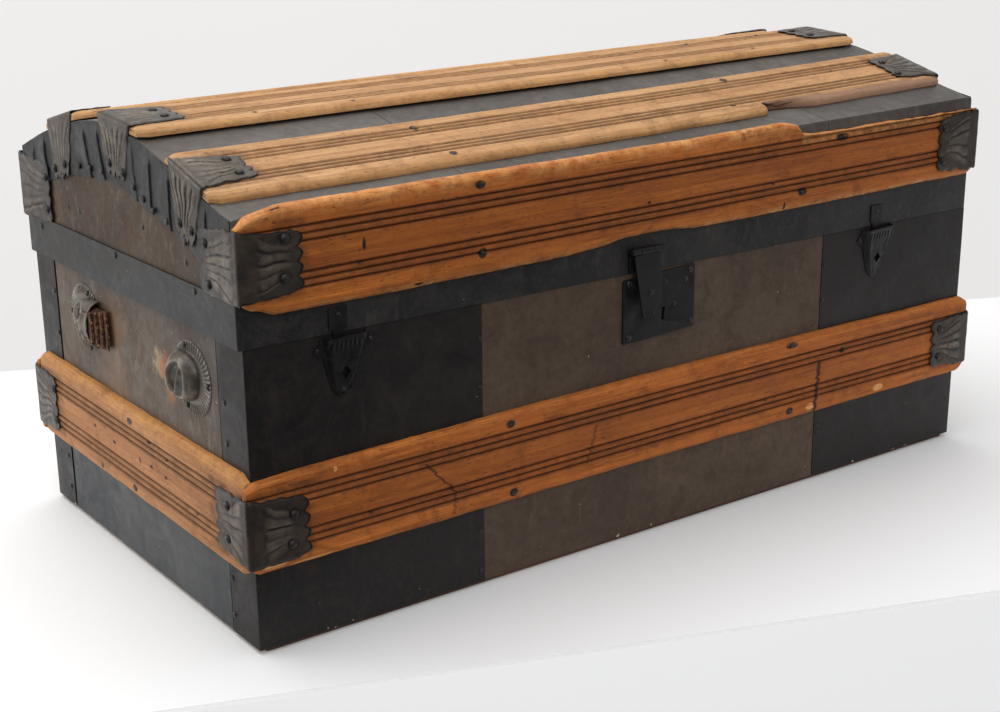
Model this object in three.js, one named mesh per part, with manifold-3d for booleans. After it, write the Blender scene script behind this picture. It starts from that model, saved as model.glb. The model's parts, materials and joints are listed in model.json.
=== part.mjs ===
// Dome top trunk with a slatted lid, in millimetres, +Z up.
// X runs along the length, -Y is the front with the lock, and Z is zero on the floor.
// The origin is under the middle of the trunk.

import * as THREE from "three";
import { mergeVertices } from "three/addons/utils/BufferGeometryUtils.js";
import Module from "manifold-3d";

const wasm = await Module();
wasm.setup();

// Overall sizes

const bodyLength = 610;
const bodyDepth = 308;
const seamHeight = 184;
const lidWallHeight = 72.6;
const domeRise = 32.8;
const lidOverhang = 1;

// The old lid sits a little to the left, and its dome and its wall slats climb towards the right

const lidShift = 2;
const lidClimb = { dome: 11, wallSlat: 5 };

// The dome's line over the depth, from the front fold to the back fold

const domePlaceShares = [-1, -0.9, -0.68, -0.47, -0.22, 0.08, 0.38, 0.68, 1];
const domeRiseShares = [0, 0.085, 0.36, 0.63, 0.885, 1, 0.835, 0.5, 0];

// Stock and clearances

const boardThickness = 9.5;
const bottomThickness = 8;
const crownThickness = 6;
const sheetThickness = 0.6;
const nailedGap = 0.1;
const seatGap = 0.3;
const seamGap = 0.4;
const cutOverrun = 5;

// Runners under the bottom

const runner = { endInset: 5, width: 50, thickness: 3, inset: 2 };

// Sheet metal covering

const cornerLeg = 34;
const panelSeamShare = 0.2459;
const lidSheet = { flangeWidth: 34, endCoverRoom: 0.5, domeSteps: 24 };
const lidBand = { height: 27 };

// Wooden slats

const slat = { width: 57, thickness: 6, domeThickness: 5.2, edgeRadius: 4, edgeSteps: 4 };
const groove = { groupOffset: 11.5, pitch: 3.4, width: 1.4, depth: 1, perGroup: 3 };
const beltHeightShare = 0.432;
const wallSlatRise = 17.6;
const domeSlatShares = { front: -0.643, top: -0.0455, back: 0.5195 };
const lostStrip = { startShare: 0.193, width: 6 };

// Stamped clamps on the slat ends

const clamp = { width: 44, faceLeg: 40, thickness: 1.6, scallop: 3.2, lobes: 3, scallopSteps: 12 };
const clampTipShare = 0.86;
const clampEndLegShare = 0.1234;

// Handle caps on the ends

const cap = { drop: 32.5, plateLength: 50, plateWidth: 46, plateThickness: 1.2, plateSteps: 28 };
const capSpacingShare = 0.513;
const capShiftShare = 0.026;
const hood = { mouth: 14, length: 30, width: 36, rise: 12, wall: 1.2, steps: 20 };
const leatherStub = { length: 24, seat: 8, width: 26, thickness: 6, height: 4.8, steps: 16 };

// Lock and hasp

const lock = { centre: -4, width: 62, height: 43, drop: 2, plateThickness: 1.6, cornerRadius: 1.5 };
const lockCase = { width: 46, height: 30, depth: 7, clearance: 0.4 };
const stapleSlot = { width: 3.2, height: 14, depth: 7 };
const keyhole = { offset: 3, height: 17, headRadius: 2, slotWidth: 2, slotLength: 7, depth: 5, steps: 12 };
const hasp = {
  centre: -18, topWidth: 21.5, tipWidth: 11, length: 46, taperStart: 8, thickness: 1.6, restAngle: 9,
};
const haspStaple = { drop: 33, height: 9, thickness: 2, reach: 5.5 };
const haspBarrel = {
  radius: 2.4, width: 26, middleWidth: 11, webSetback: 1.3, pinRadius: 1, boreRadius: 1.2, headRadius: 1.6,
  headWidth: 0.8, steps: 20,
};
const haspLeaf = { height: 11, thickness: 1.2, axisRise: 14.6, axisReach: 4.2 };

// Catches

const catchShares = { left: -0.3967, right: 0.3328 };
const pocket = { topWidth: 30, height: 35, rise: 6, tipRise: 1.8, wall: 0.9, topDrop: 2.5, tipWidth: 4 };
const pocketEar = { reach: 7, drop: 2.5, height: 9, thickness: 0.9 };
const tongue = {
  plateWidth: 26, plateHeight: 13, thickness: 1.2, width: 18, tipWidth: 8, reach: 12, plateLift: 2,
};

// Back hinges

const hinge = { width: 56, leafHeight: 20, lidLeafHeight: 15, thickness: 1.2, steps: 20 };
const hingePlaceShare = 0.3033;
const hingeBarrel = { radius: 2.8, pinRadius: 1.3, boreRadius: 1.5, middleWidth: 20, reach: 3.9 };

// Places that follow from the sizes

const halfLength = bodyLength / 2;
const halfDepth = bodyDepth / 2;
const lidHalfLength = halfLength + lidOverhang;
const sheetDepth = sheetThickness + nailedGap;
const boardBase = runner.thickness + nailedGap;
const lidBase = seamHeight + seamGap;
const foldHeight = lidBase + lidWallHeight;
const domeLine = new THREE.CubicInterpolant(domePlaceShares, domeRiseShares, 1);
const domeHeight = (y) => foldHeight + domeRise * domeLine.evaluate(y / halfDepth)[0];
const bandTop = lidBase + lidBand.height;
const bandFace = halfDepth + sheetDepth;
const lidBoardEnd = lidHalfLength - sheetThickness - lidSheet.endCoverRoom;
const railInner = halfDepth - sheetDepth - boardThickness;
const beltHeight = seamHeight * beltHeightShare;
const clampEndLeg = bodyDepth * clampEndLegShare;
const lockBottom = seamHeight - lock.drop - lock.height;
const capHeight = seamHeight - cap.drop;
const capSpacing = bodyDepth * capSpacingShare;
const capShift = bodyDepth * capShiftShare;
const catchPlaces = { left: bodyLength * catchShares.left, right: bodyLength * catchShares.right };
const hingePlace = bodyLength * hingePlaceShare;
const panelSeam = bodyLength * panelSeamShare;
const quarterTurn = Math.PI / 2;

// Finishes

const makeFinish = (color, roughness, metalness) =>
  new THREE.MeshStandardMaterial({ color, roughness, metalness });
const slatWood = makeFinish(0xa8672f, 0.6, 0);
const boardWood = makeFinish(0x9a7a52, 0.8, 0);
const runnerWood = makeFinish(0x5b3a2a, 0.8, 0);
const blackSheet = makeFinish(0x1d1b1d, 0.6, 0.3);
const oliveSheet = makeFinish(0x40362c, 0.65, 0.3);
const greySheet = makeFinish(0x55524f, 0.55, 0.5);
const endSheet = makeFinish(0x5c5348, 0.65, 0.4);
const clampSteel = makeFinish(0x6a6055, 0.5, 0.7);
const darkIron = makeFinish(0x242223, 0.5, 0.7);
const capSteel = makeFinish(0x6b6458, 0.5, 0.7);
const leather = makeFinish(0x5a3018, 0.85, 0);

// Solids

const toManifold = (geometry) => {
  const bare = geometry.clone();
  bare.deleteAttribute("normal");
  bare.deleteAttribute("uv");
  const merged = mergeVertices(bare);
  const vertProperties = new Float32Array(merged.attributes.position.array);
  const triVerts = new Uint32Array(merged.index.array);
  return new wasm.Manifold(new wasm.Mesh({ numProp: 3, vertProperties, triVerts }));
};

const toGeometry = (solid) => {
  const mesh = solid.getMesh();
  const geometry = new THREE.BufferGeometry();
  geometry.setAttribute("position", new THREE.BufferAttribute(mesh.vertProperties, 3));
  geometry.setIndex(new THREE.BufferAttribute(mesh.triVerts, 1));
  geometry.computeVertexNormals();
  return geometry;
};

const joined = (...geometries) => toGeometry(geometries.map(toManifold).reduce((a, b) => a.add(b)));
const shared = (first, second) => toGeometry(toManifold(first).intersect(toManifold(second)));
const cutFrom = (geometry, ...cutters) =>
  toGeometry(cutters.map(toManifold).reduce((a, b) => a.subtract(b), toManifold(geometry)));

const boxBetween = ([x0, x1], [y0, y1], [z0, z1]) =>
  new THREE.BoxGeometry(x1 - x0, y1 - y0, z1 - z0).translate((x0 + x1) / 2, (y0 + y1) / 2, (z0 + z1) / 2);

const shapeOf = (points) => new THREE.Shape(points.map(([x, y]) => new THREE.Vector2(x, y)));

// An outline in X and Y raised along Z from bottom to top.
const raised = (points, bottom, top) =>
  new THREE.ExtrudeGeometry(shapeOf(points), { depth: top - bottom, bevelEnabled: false, steps: 1 })
    .translate(0, 0, bottom);

// An outline in Y and Z drawn out along X between two places.
const drawnAlongX = (points, x0, x1) => {
  const profile = raised(points, x0, x1);
  return profile.rotateX(quarterTurn).rotateZ(quarterTurn);
};

// An outline in X and Z drawn out along Y between two places.
const drawnAlongY = (points, y0, y1) => raised(points, -y1, -y0).rotateX(quarterTurn);

// A rod along X around a given axis.
const rodAlongX = (radius, x0, x1, y, z, steps) =>
  new THREE.CylinderGeometry(radius, radius, x1 - x0, steps).rotateZ(quarterTurn).translate((x0 + x1) / 2, y, z);

const trunk = new THREE.Group();
const lidFrame = new THREE.Group();
lidFrame.position.x = -lidShift;
trunk.add(lidFrame);

const addPiece = (name, geometry, finish, carrier = trunk) => {
  const mesh = new THREE.Mesh(geometry, finish.clone());
  mesh.name = name;
  carrier.add(mesh);
  return mesh;
};

// A side group turns a front-facing layout to face the front, right, back or left.
const sideTurns = { front: 0, right: quarterTurn, back: Math.PI, left: -quarterTurn };

const sideGroup = (side, carrier = trunk) => {
  const group = new THREE.Group();
  group.rotation.z = sideTurns[side];
  carrier.add(group);
  return group;
};

// Lifts a lid piece more and more towards the right, by the share of the climb that its height has.
const climbed = (mesh, climb, shareAt) => {
  mesh.updateWorldMatrix(true, false);
  const intoFrame = lidFrame.matrixWorld.clone().invert().multiply(mesh.matrixWorld);
  mesh.geometry.applyMatrix4(intoFrame);
  const points = mesh.geometry.attributes.position;
  for (let i = 0; i < points.count; i += 1) {
    const along = (points.getX(i) + lidHalfLength) / (2 * lidHalfLength);
    points.setZ(i, points.getZ(i) + climb * along * shareAt(points.getZ(i)));
  }
  mesh.geometry.applyMatrix4(intoFrame.invert());
  mesh.geometry.computeVertexNormals();
};

const wholeShare = () => 1;
const wallShare = (z) => THREE.MathUtils.clamp((z - bandTop) / (foldHeight - bandTop), 0, 1);

const addLidPiece = (name, geometry, finish) => {
  climbed(addPiece(name, geometry, finish, lidFrame), lidClimb.dome, wallShare);
};

// Body boards

// The lock's case, or the room for it when it grows by its clearance, from a front face backwards.
const lockCaseBox = (frontFace, grow) => {
  const halfWidth = lockCase.width / 2 + grow;
  const halfHeight = lockCase.height / 2 + grow;
  const middle = lockBottom + lock.height / 2;
  return boxBetween(
    [lock.centre - halfWidth, lock.centre + halfWidth],
    [frontFace, -halfDepth + lockCase.depth + grow],
    [middle - halfHeight, middle + halfHeight],
  );
};

const lockRoom = () => lockCaseBox(-halfDepth - cutOverrun, lockCase.clearance);

const addBodyBoards = () => {
  const outerX = halfLength - sheetDepth;
  const outerY = halfDepth - sheetDepth;
  const wallBase = boardBase + bottomThickness + nailedGap;
  addPiece(
    "bottom_board",
    boxBetween([-outerX, outerX], [-outerY, outerY], [boardBase, boardBase + bottomThickness]),
    boardWood,
  );
  const frontBoard = boxBetween([-outerX, outerX], [-outerY, -railInner], [wallBase, seamHeight]);
  addPiece("front_board", cutFrom(frontBoard, lockRoom()), boardWood);
  const backBoard = boxBetween([-outerX, outerX], [railInner, outerY], [wallBase, seamHeight]);
  addPiece("back_board", backBoard, boardWood);
  const endInner = outerX - boardThickness;
  const endYs = [-railInner + nailedGap, railInner - nailedGap];
  const endZs = [wallBase, seamHeight];
  addPiece("left_end_board", boxBetween([-outerX, -endInner], endYs, endZs), boardWood);
  addPiece("right_end_board", boxBetween([endInner, outerX], endYs, endZs), boardWood);
};

// Body covering: two sheets bent round the front corners, one round the whole back, three flat panels

const frontCornerOutline = (side) => [
  [side * (panelSeam + nailedGap), -halfDepth],
  [side * halfLength, -halfDepth],
  [side * halfLength, -halfDepth + cornerLeg],
  [side * (halfLength - sheetThickness), -halfDepth + cornerLeg],
  [side * (halfLength - sheetThickness), -halfDepth + sheetThickness],
  [side * (panelSeam + nailedGap), -halfDepth + sheetThickness],
];

const backSheetOutline = [
  [-halfLength, halfDepth - cornerLeg],
  [-halfLength, halfDepth],
  [halfLength, halfDepth],
  [halfLength, halfDepth - cornerLeg],
  [halfLength - sheetThickness, halfDepth - cornerLeg],
  [halfLength - sheetThickness, halfDepth - sheetThickness],
  [-halfLength + sheetThickness, halfDepth - sheetThickness],
  [-halfLength + sheetThickness, halfDepth - cornerLeg],
];

const addBodySheets = () => {
  addPiece("front_left_corner_sheet", raised(frontCornerOutline(-1), boardBase, seamHeight), blackSheet);
  addPiece("front_right_corner_sheet", raised(frontCornerOutline(1), boardBase, seamHeight), blackSheet);
  addPiece("back_sheet", raised(backSheetOutline, boardBase, seamHeight), blackSheet);
  const centre = boxBetween(
    [-panelSeam, panelSeam],
    [-halfDepth, -halfDepth + sheetThickness],
    [boardBase, seamHeight],
  );
  addPiece("front_centre_sheet", cutFrom(centre, lockRoom()), oliveSheet);
  const reach = halfDepth - cornerLeg - nailedGap;
  const inner = halfLength - sheetThickness;
  const endYs = [-reach, reach];
  const endZs = [boardBase, seamHeight];
  addPiece("left_end_sheet", boxBetween([-halfLength, -inner], endYs, endZs), endSheet);
  addPiece("right_end_sheet", boxBetween([inner, halfLength], endYs, endZs), endSheet);
};

const addRunners = () => {
  const outer = halfDepth - runner.inset;
  const runnerEnd = halfLength - runner.endInset;
  const xs = [-runnerEnd, runnerEnd];
  const zs = [0, runner.thickness];
  addPiece("front_runner", boxBetween(xs, [-outer, -outer + runner.width], zs), runnerWood);
  addPiece("back_runner", boxBetween(xs, [outer - runner.width, outer], zs), runnerWood);
};

// Slats: a flat board with two rounded edges and two groups of fine grooves

const slatOutline = (thickness) => {
  const half = slat.width / 2;
  const points = [[-half, 0]];
  const addEdge = (side) => {
    const centre = side * (half - slat.edgeRadius);
    for (let i = 0; i <= slat.edgeSteps; i += 1) {
      const turn = (quarterTurn * (side < 0 ? i : slat.edgeSteps - i)) / slat.edgeSteps;
      const across = centre + side * slat.edgeRadius * Math.cos(turn);
      points.push([across, thickness - slat.edgeRadius * (1 - Math.sin(turn))]);
    }
  };
  const addGroup = (middle) => {
    for (let i = 0; i < groove.perGroup; i += 1) {
      const place = middle + (i - (groove.perGroup - 1) / 2) * groove.pitch;
      points.push([place - groove.width / 2, thickness]);
      points.push([place, thickness - groove.depth]);
      points.push([place + groove.width / 2, thickness]);
    }
  };
  addEdge(-1);
  addGroup(-groove.groupOffset);
  addGroup(groove.groupOffset);
  addEdge(1);
  points.push([half, 0]);
  return points;
};

// A slat lies along X with its width along Y and its back at Z zero.
const slatGeometry = (length, thickness = slat.thickness) =>
  drawnAlongX(slatOutline(thickness), -length / 2, length / 2);

// Clamps: a face leg along +X on the slat and an end leg down from the slat's end, both scalloped

const legOutline = (start, length, shift) => {
  const halfWidth = (along) => {
    const share = Math.max(along, 0) / length;
    return (clamp.width / 2) * (1 - (1 - clampTipShare) * share);
  };
  const tip = length - clamp.scallop;
  const points = [[start, -halfWidth(start)]];
  for (let i = 0; i <= clamp.scallopSteps; i += 1) {
    const share = i / clamp.scallopSteps;
    const bump = Math.abs(Math.sin(Math.PI * clamp.lobes * share));
    points.push([tip + clamp.scallop * bump, (2 * share - 1) * halfWidth(tip)]);
  }
  points.push([start, halfWidth(start)]);
  return points.map(([along, across]) => [along, across + shift * along]);
};

const clampGeometry = (sideShift) => {
  const faceLeg = raised(legOutline(-clamp.thickness, clamp.faceLeg, 0), 0, clamp.thickness);
  const endLeg = raised(legOutline(-clamp.thickness, clampEndLeg, sideShift), -clamp.thickness, 0);
  endLeg.rotateY(quarterTurn);
  return joined(faceLeg, endLeg);
};

// A slat's carrier has its Z pointing out of the face.
const addSlat = (carrier, slatName, length, geometry = slatGeometry(length)) =>
  addPiece(slatName, geometry, slatWood, carrier);

// A clamp on each end of a slat, whose end leg stays upright when the slat is tilted.
const addEndClamps = (carrier, names, slatLength, thickness = slat.thickness, tilt = 0) => {
  [-1, 1].forEach((side, index) => {
    const shift = side * Math.tan(tilt);
    const piece = addPiece(names[index], clampGeometry(shift), clampSteel, carrier);
    piece.position.set(side * (slatLength / 2 + seatGap), 0, thickness + seatGap);
    piece.rotation.z = side > 0 ? Math.PI : 0;
  });
};

// A face group stands on a side, with its X along the side, its Y up and its Z out of the face.
const faceGroup = (carrier, reach, height) => {
  const face = new THREE.Group();
  face.position.set(0, -reach, height);
  face.rotation.x = quarterTurn;
  carrier.add(face);
  return face;
};

const beltLength = bodyLength + 2 * (slat.thickness + nailedGap);

const addBelt = () => {
  const front = faceGroup(sideGroup("front"), halfDepth + nailedGap, beltHeight);
  const back = faceGroup(sideGroup("back"), halfDepth + nailedGap, beltHeight);
  const left = faceGroup(sideGroup("left"), halfLength + nailedGap, beltHeight);
  const right = faceGroup(sideGroup("right"), halfLength + nailedGap, beltHeight);
  addSlat(front, "front_body_slat", beltLength);
  addSlat(back, "back_body_slat", beltLength);
  addSlat(left, "left_body_slat", bodyDepth);
  addSlat(right, "right_body_slat", bodyDepth);
  addEndClamps(front, ["front_left_corner_clamp", "front_right_corner_clamp"], beltLength);
  addEndClamps(back, ["back_right_corner_clamp", "back_left_corner_clamp"], beltLength);
};

// Handle caps: a round plate with a hollow hood whose mouth faces the other cap

const ellipseOutline = (halfX, halfY, steps) => {
  const points = [];
  for (let i = 0; i < steps; i += 1) {
    const turn = (2 * Math.PI * i) / steps;
    points.push([halfX * Math.cos(turn), halfY * Math.sin(turn)]);
  }
  return points;
};

const hoodShell = (shrink) => {
  const ball = new THREE.SphereGeometry(1, hood.steps, hood.steps / 2);
  const halfWidth = hood.width / 2 - shrink;
  return ball.scale(hood.length - shrink, halfWidth, hood.rise - shrink).translate(-hood.mouth, 0, 0);
};

const capGeometry = () => {
  const plate = raised(
    ellipseOutline(cap.plateLength / 2, cap.plateWidth / 2, cap.plateSteps),
    0,
    cap.plateThickness,
  );
  const keep = boxBetween(
    [-hood.mouth, hood.length],
    [-hood.width, hood.width],
    [cap.plateThickness / 2, hood.rise * 2],
  );
  const outer = shared(hoodShell(0), keep);
  const hollow = shared(
    hoodShell(hood.wall),
    boxBetween([-hood.length * 2, hood.length], [-hood.width, hood.width], [cap.plateThickness, hood.rise * 2]),
  );
  return cutFrom(joined(plate, outer), hollow);
};

// The two caps of an end share a face group that is moved a little towards the front.
const addCaps = (side, names) => {
  const face = faceGroup(sideGroup(side), halfLength + nailedGap, capHeight);
  face.position.x = side === "left" ? capShift : -capShift;
  [-1, 1].forEach((direction, index) => {
    const piece = addPiece(names[index], capGeometry(), capSteel, face);
    piece.position.x = (direction * capSpacing) / 2;
    piece.rotation.z = direction < 0 ? Math.PI : 0;
  });
  return face;
};

// The torn end of the leather handle lies in the mouth of the left rear cap.
const addLeatherStub = (face) => {
  const outline = ellipseOutline(leatherStub.width / 2, leatherStub.thickness / 2, leatherStub.steps);
  const stub = drawnAlongX(outline, 0, leatherStub.length);
  const mouth = -capSpacing / 2 + hood.mouth;
  const piece = addPiece("leather_handle_stub", stub, leather, face);
  piece.position.set(mouth - leatherStub.seat, 0, leatherStub.height);
};

// Lock: a plate on the front with its case let into the front board behind it

const roundedOutline = (x0, x1, y0, y1, radius, steps) => {
  const points = [];
  const corners = [[x1, y1, 0], [x0, y1, 1], [x0, y0, 2], [x1, y0, 3]];
  corners.forEach(([x, y, quarter]) => {
    const cx = x === x1 ? x1 - radius : x0 + radius;
    const cy = y === y1 ? y1 - radius : y0 + radius;
    for (let i = 0; i <= steps; i += 1) {
      const turn = quarterTurn * (quarter + i / steps);
      points.push([cx + radius * Math.cos(turn), cy + radius * Math.sin(turn)]);
    }
  });
  return points;
};

const lockFace = -halfDepth - nailedGap - lock.plateThickness;

const addLock = () => {
  const outline = roundedOutline(
    lock.centre - lock.width / 2,
    lock.centre + lock.width / 2,
    lockBottom,
    lockBottom + lock.height,
    lock.cornerRadius,
    keyhole.steps / 4,
  );
  const plate = drawnAlongY(outline, lockFace, -halfDepth - nailedGap);
  const caseBox = lockCaseBox(lockFace + lock.plateThickness / 2, 0);
  const slotMiddle = haspAxis.z - haspStaple.drop;
  const slot = boxBetween(
    [hasp.centre - stapleSlot.width / 2, hasp.centre + stapleSlot.width / 2],
    [lockFace - cutOverrun, lockFace + stapleSlot.depth],
    [slotMiddle - stapleSlot.height / 2, slotMiddle + stapleSlot.height / 2],
  );
  const keyMiddle = lock.centre + keyhole.offset;
  const keyTop = lockBottom + keyhole.height;
  const keyHead = drawnAlongY(
    ellipseOutline(keyhole.headRadius, keyhole.headRadius, keyhole.steps),
    lockFace - cutOverrun,
    lockFace + keyhole.depth,
  ).translate(keyMiddle, 0, keyTop);
  const keySlot = boxBetween(
    [keyMiddle - keyhole.slotWidth / 2, keyMiddle + keyhole.slotWidth / 2],
    [lockFace - cutOverrun, lockFace + keyhole.depth],
    [keyTop - keyhole.slotLength, keyTop],
  );
  addPiece("lock_plate", cutFrom(joined(plate, caseBox), slot, keyHead, keySlot), darkIron);
};

// Hasp: a fixed leaf on the lid band, a pin, and the swinging hasp with its staple

const haspAxis = { y: -(halfDepth + haspLeaf.axisReach), z: lidBase + haspLeaf.axisRise };

const addHaspPlate = () => {
  const back = -(bandFace + nailedGap);
  const face = back - haspLeaf.thickness;
  const left = hasp.centre - haspBarrel.width / 2;
  const right = hasp.centre + haspBarrel.width / 2;
  const innerHalf = haspBarrel.middleWidth / 2 + seatGap;
  const leafTop = haspAxis.z - haspBarrel.radius - seatGap;
  const leaf = boxBetween([left, right], [face, back], [leafTop - haspLeaf.height, leafTop]);
  const knuckles = [[left, hasp.centre - innerHalf], [hasp.centre + innerHalf, right]].flatMap(([x0, x1]) => [
    rodAlongX(haspBarrel.radius, x0, x1, haspAxis.y, haspAxis.z, haspBarrel.steps),
    boxBetween([x0, x1], [haspAxis.y + haspBarrel.webSetback, back], [leafTop - seatGap, haspAxis.z]),
  ]);
  const bore = rodAlongX(
    haspBarrel.boreRadius,
    left - cutOverrun,
    right + cutOverrun,
    haspAxis.y,
    haspAxis.z,
    haspBarrel.steps,
  );
  addPiece("hasp_plate", cutFrom(joined(leaf, ...knuckles), bore), darkIron);
};

const addHaspPin = () => {
  const reach = haspBarrel.width / 2 + nailedGap;
  const ends = [-1, 1].map((side) => {
    const near = side * reach;
    const far = side * (reach + haspBarrel.headWidth);
    return rodAlongX(haspBarrel.headRadius, Math.min(near, far), Math.max(near, far), 0, 0, haspBarrel.steps);
  });
  const pin = rodAlongX(haspBarrel.pinRadius, -reach - nailedGap, reach + nailedGap, 0, 0, haspBarrel.steps);
  const piece = addPiece("hasp_pin", joined(pin, ...ends), darkIron);
  piece.position.set(hasp.centre, haspAxis.y, haspAxis.z);
};

// The hasp hangs from its knuckle in its own frame, and rests a little off the lock plate.
const haspOutline = () => {
  const top = -haspBarrel.radius - seatGap;
  const tipRadius = hasp.tipWidth / 2;
  const tipCentre = -hasp.length + tipRadius;
  const points = [[-hasp.topWidth / 2, top], [-hasp.topWidth / 2, -hasp.taperStart]];
  for (let i = 0; i <= haspBarrel.steps / 2; i += 1) {
    const turn = Math.PI + (2 * Math.PI * i) / haspBarrel.steps;
    points.push([tipRadius * Math.cos(turn), tipCentre + tipRadius * Math.sin(turn)]);
  }
  points.push([hasp.topWidth / 2, -hasp.taperStart], [hasp.topWidth / 2, top]);
  return points;
};

const addHasp = () => {
  const halfKnuckle = haspBarrel.middleWidth / 2;
  const halfThick = hasp.thickness / 2;
  const plate = drawnAlongY(haspOutline(), -halfThick, halfThick);
  const knuckle = rodAlongX(haspBarrel.radius, -halfKnuckle, halfKnuckle, 0, 0, haspBarrel.steps);
  const neck = boxBetween([-halfKnuckle, halfKnuckle], [-halfThick, halfThick], [-hasp.taperStart, 0]);
  const staple = boxBetween(
    [-haspStaple.thickness / 2, haspStaple.thickness / 2],
    [0, halfThick + haspStaple.reach],
    [-haspStaple.drop - haspStaple.height / 2, -haspStaple.drop + haspStaple.height / 2],
  );
  const bore = rodAlongX(
    haspBarrel.boreRadius,
    -halfKnuckle - cutOverrun,
    halfKnuckle + cutOverrun,
    0,
    0,
    haspBarrel.steps,
  );
  const piece = addPiece("hasp", cutFrom(joined(plate, neck, knuckle, staple), bore), darkIron);
  piece.position.set(hasp.centre, haspAxis.y, haspAxis.z);
  piece.rotation.x = -THREE.MathUtils.degToRad(hasp.restAngle);
};

// Catches: an open-topped pocket on the body and a plate with a tongue on the lid

const pocketOutline = (shrink, top) => {
  const halfTop = pocket.topWidth / 2 - shrink;
  const halfTip = pocket.tipWidth / 2;
  const tip = -pocket.height + shrink;
  const halfMouth = halfTop + ((halfTop - halfTip) * top) / pocket.height;
  return [[-halfMouth, top], [-halfTip, tip], [halfTip, tip], [halfMouth, top]];
};

const pocketWedge = (shrink, back) => [
  [back, cutOverrun],
  [back, -pocket.height - cutOverrun],
  [-(pocket.tipRise - shrink), -pocket.height],
  [-(pocket.rise - shrink), 0],
  [-(pocket.rise - shrink), cutOverrun],
];

const pocketSolid = (shrink, overrun) => {
  const front = drawnAlongY(pocketOutline(shrink, overrun), -pocket.rise * 2, overrun);
  const wedge = drawnAlongX(pocketWedge(shrink, overrun), -pocket.topWidth, pocket.topWidth);
  return shared(front, wedge);
};

const addPocket = (name, place) => {
  const earTop = -pocketEar.drop;
  const earHalf = pocket.topWidth / 2 + pocketEar.reach;
  const flange = drawnAlongY(
    [
      [-earHalf, earTop],
      [-earHalf, earTop - pocketEar.height],
      [-pocket.tipWidth, -pocket.height],
      [pocket.tipWidth, -pocket.height],
      [earHalf, earTop - pocketEar.height],
      [earHalf, earTop],
    ],
    -pocketEar.thickness,
    0,
  );
  const hollow = pocketSolid(pocket.wall, pocket.wall);
  const shell = pocketSolid(0, 0);
  const piece = addPiece(name, cutFrom(joined(shell, flange), hollow), darkIron);
  piece.position.set(place, -halfDepth - nailedGap, seamHeight - pocket.topDrop);
};

const addTongue = (name, place) => {
  const halfPlate = tongue.plateWidth / 2;
  const halfTongue = tongue.width / 2;
  const lift = tongue.plateLift;
  const outline = [
    [-halfPlate, lift + tongue.plateHeight],
    [-halfPlate, lift],
    [-halfTongue, lift],
    [-tongue.tipWidth / 2, -tongue.reach],
    [tongue.tipWidth / 2, -tongue.reach],
    [halfTongue, lift],
    [halfPlate, lift],
    [halfPlate, lift + tongue.plateHeight],
  ];
  const piece = addPiece(name, drawnAlongY(outline, -tongue.thickness, 0), darkIron);
  piece.position.set(place, -(bandFace + nailedGap), lidBase);
};

// The dome's line: its slope, its height when it is moved inwards by a depth, and its outline out to a reach

const domeSlope = (y) => {
  const step = halfDepth / lidSheet.domeSteps;
  return (domeHeight(y + step / 2) - domeHeight(y - step / 2)) / step;
};

const domeInside = (y, depth) => domeHeight(y) - depth * Math.hypot(1, domeSlope(y));

const domeOutline = (depth, reach) => {
  const points = [];
  for (let i = 0; i <= lidSheet.domeSteps; i += 1) {
    const y = reach * ((2 * i) / lidSheet.domeSteps - 1);
    points.push([y, domeInside(y, depth)]);
  }
  return points;
};

// Lid boards: two rails, two arched ends and a thin crown bent over them

const crownTop = sheetThickness + seatGap;
const crownUnder = crownTop + crownThickness;
const underCrown = crownUnder + seatGap;

const addLidBoards = () => {
  const outer = halfDepth - sheetDepth;
  const railOutline = (side) => [
    [side * outer, lidBase],
    [side * outer, domeInside(side * outer, underCrown)],
    [side * railInner, domeInside(side * railInner, underCrown)],
    [side * railInner, lidBase],
  ];
  addLidPiece("lid_front_rail", drawnAlongX(railOutline(-1), -lidBoardEnd, lidBoardEnd), boardWood);
  addLidPiece("lid_back_rail", drawnAlongX(railOutline(1), -lidBoardEnd, lidBoardEnd), boardWood);
  const endReach = railInner - nailedGap;
  const endOutline = [[-endReach, lidBase], ...domeOutline(underCrown, endReach), [endReach, lidBase]];
  const endInner = lidBoardEnd - boardThickness;
  addLidPiece("lid_left_end_board", drawnAlongX(endOutline, -lidBoardEnd, -endInner), boardWood);
  addLidPiece("lid_right_end_board", drawnAlongX(endOutline, endInner, lidBoardEnd), boardWood);
  const crownOutline = [...domeOutline(crownTop, outer), ...domeOutline(crownUnder, outer).reverse()];
  addLidPiece("lid_crown_board", drawnAlongX(crownOutline, -lidBoardEnd, lidBoardEnd), boardWood);
};

// Lid covering: a sheet over walls and crown whose ends are folded over the arched ends

const lidProfile = (shrink, bottom) => {
  const reach = halfDepth - shrink;
  return [[-reach, bottom], ...domeOutline(shrink, reach), [reach, bottom]];
};

const addLidSheet = () => {
  const inner = lidHalfLength - sheetThickness;
  const shell = drawnAlongX(lidProfile(0, lidBase), -lidHalfLength, lidHalfLength);
  const hollow = drawnAlongX(lidProfile(sheetThickness, lidBase - cutOverrun), -inner, inner);
  const far = lidHalfLength + cutOverrun;
  const window = drawnAlongX(lidProfile(lidSheet.flangeWidth, lidBase - cutOverrun), -far, far);
  const bandRoom = [-1, 1].map((side) => {
    const near = side * (inner - nailedGap);
    return boxBetween(
      [Math.min(near, side * far), Math.max(near, side * far)],
      [-bodyDepth, bodyDepth],
      [lidBase - cutOverrun, bandTop + nailedGap],
    );
  });
  addLidPiece("lid_sheet", cutFrom(shell, hollow, window, ...bandRoom), greySheet);
};

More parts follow.
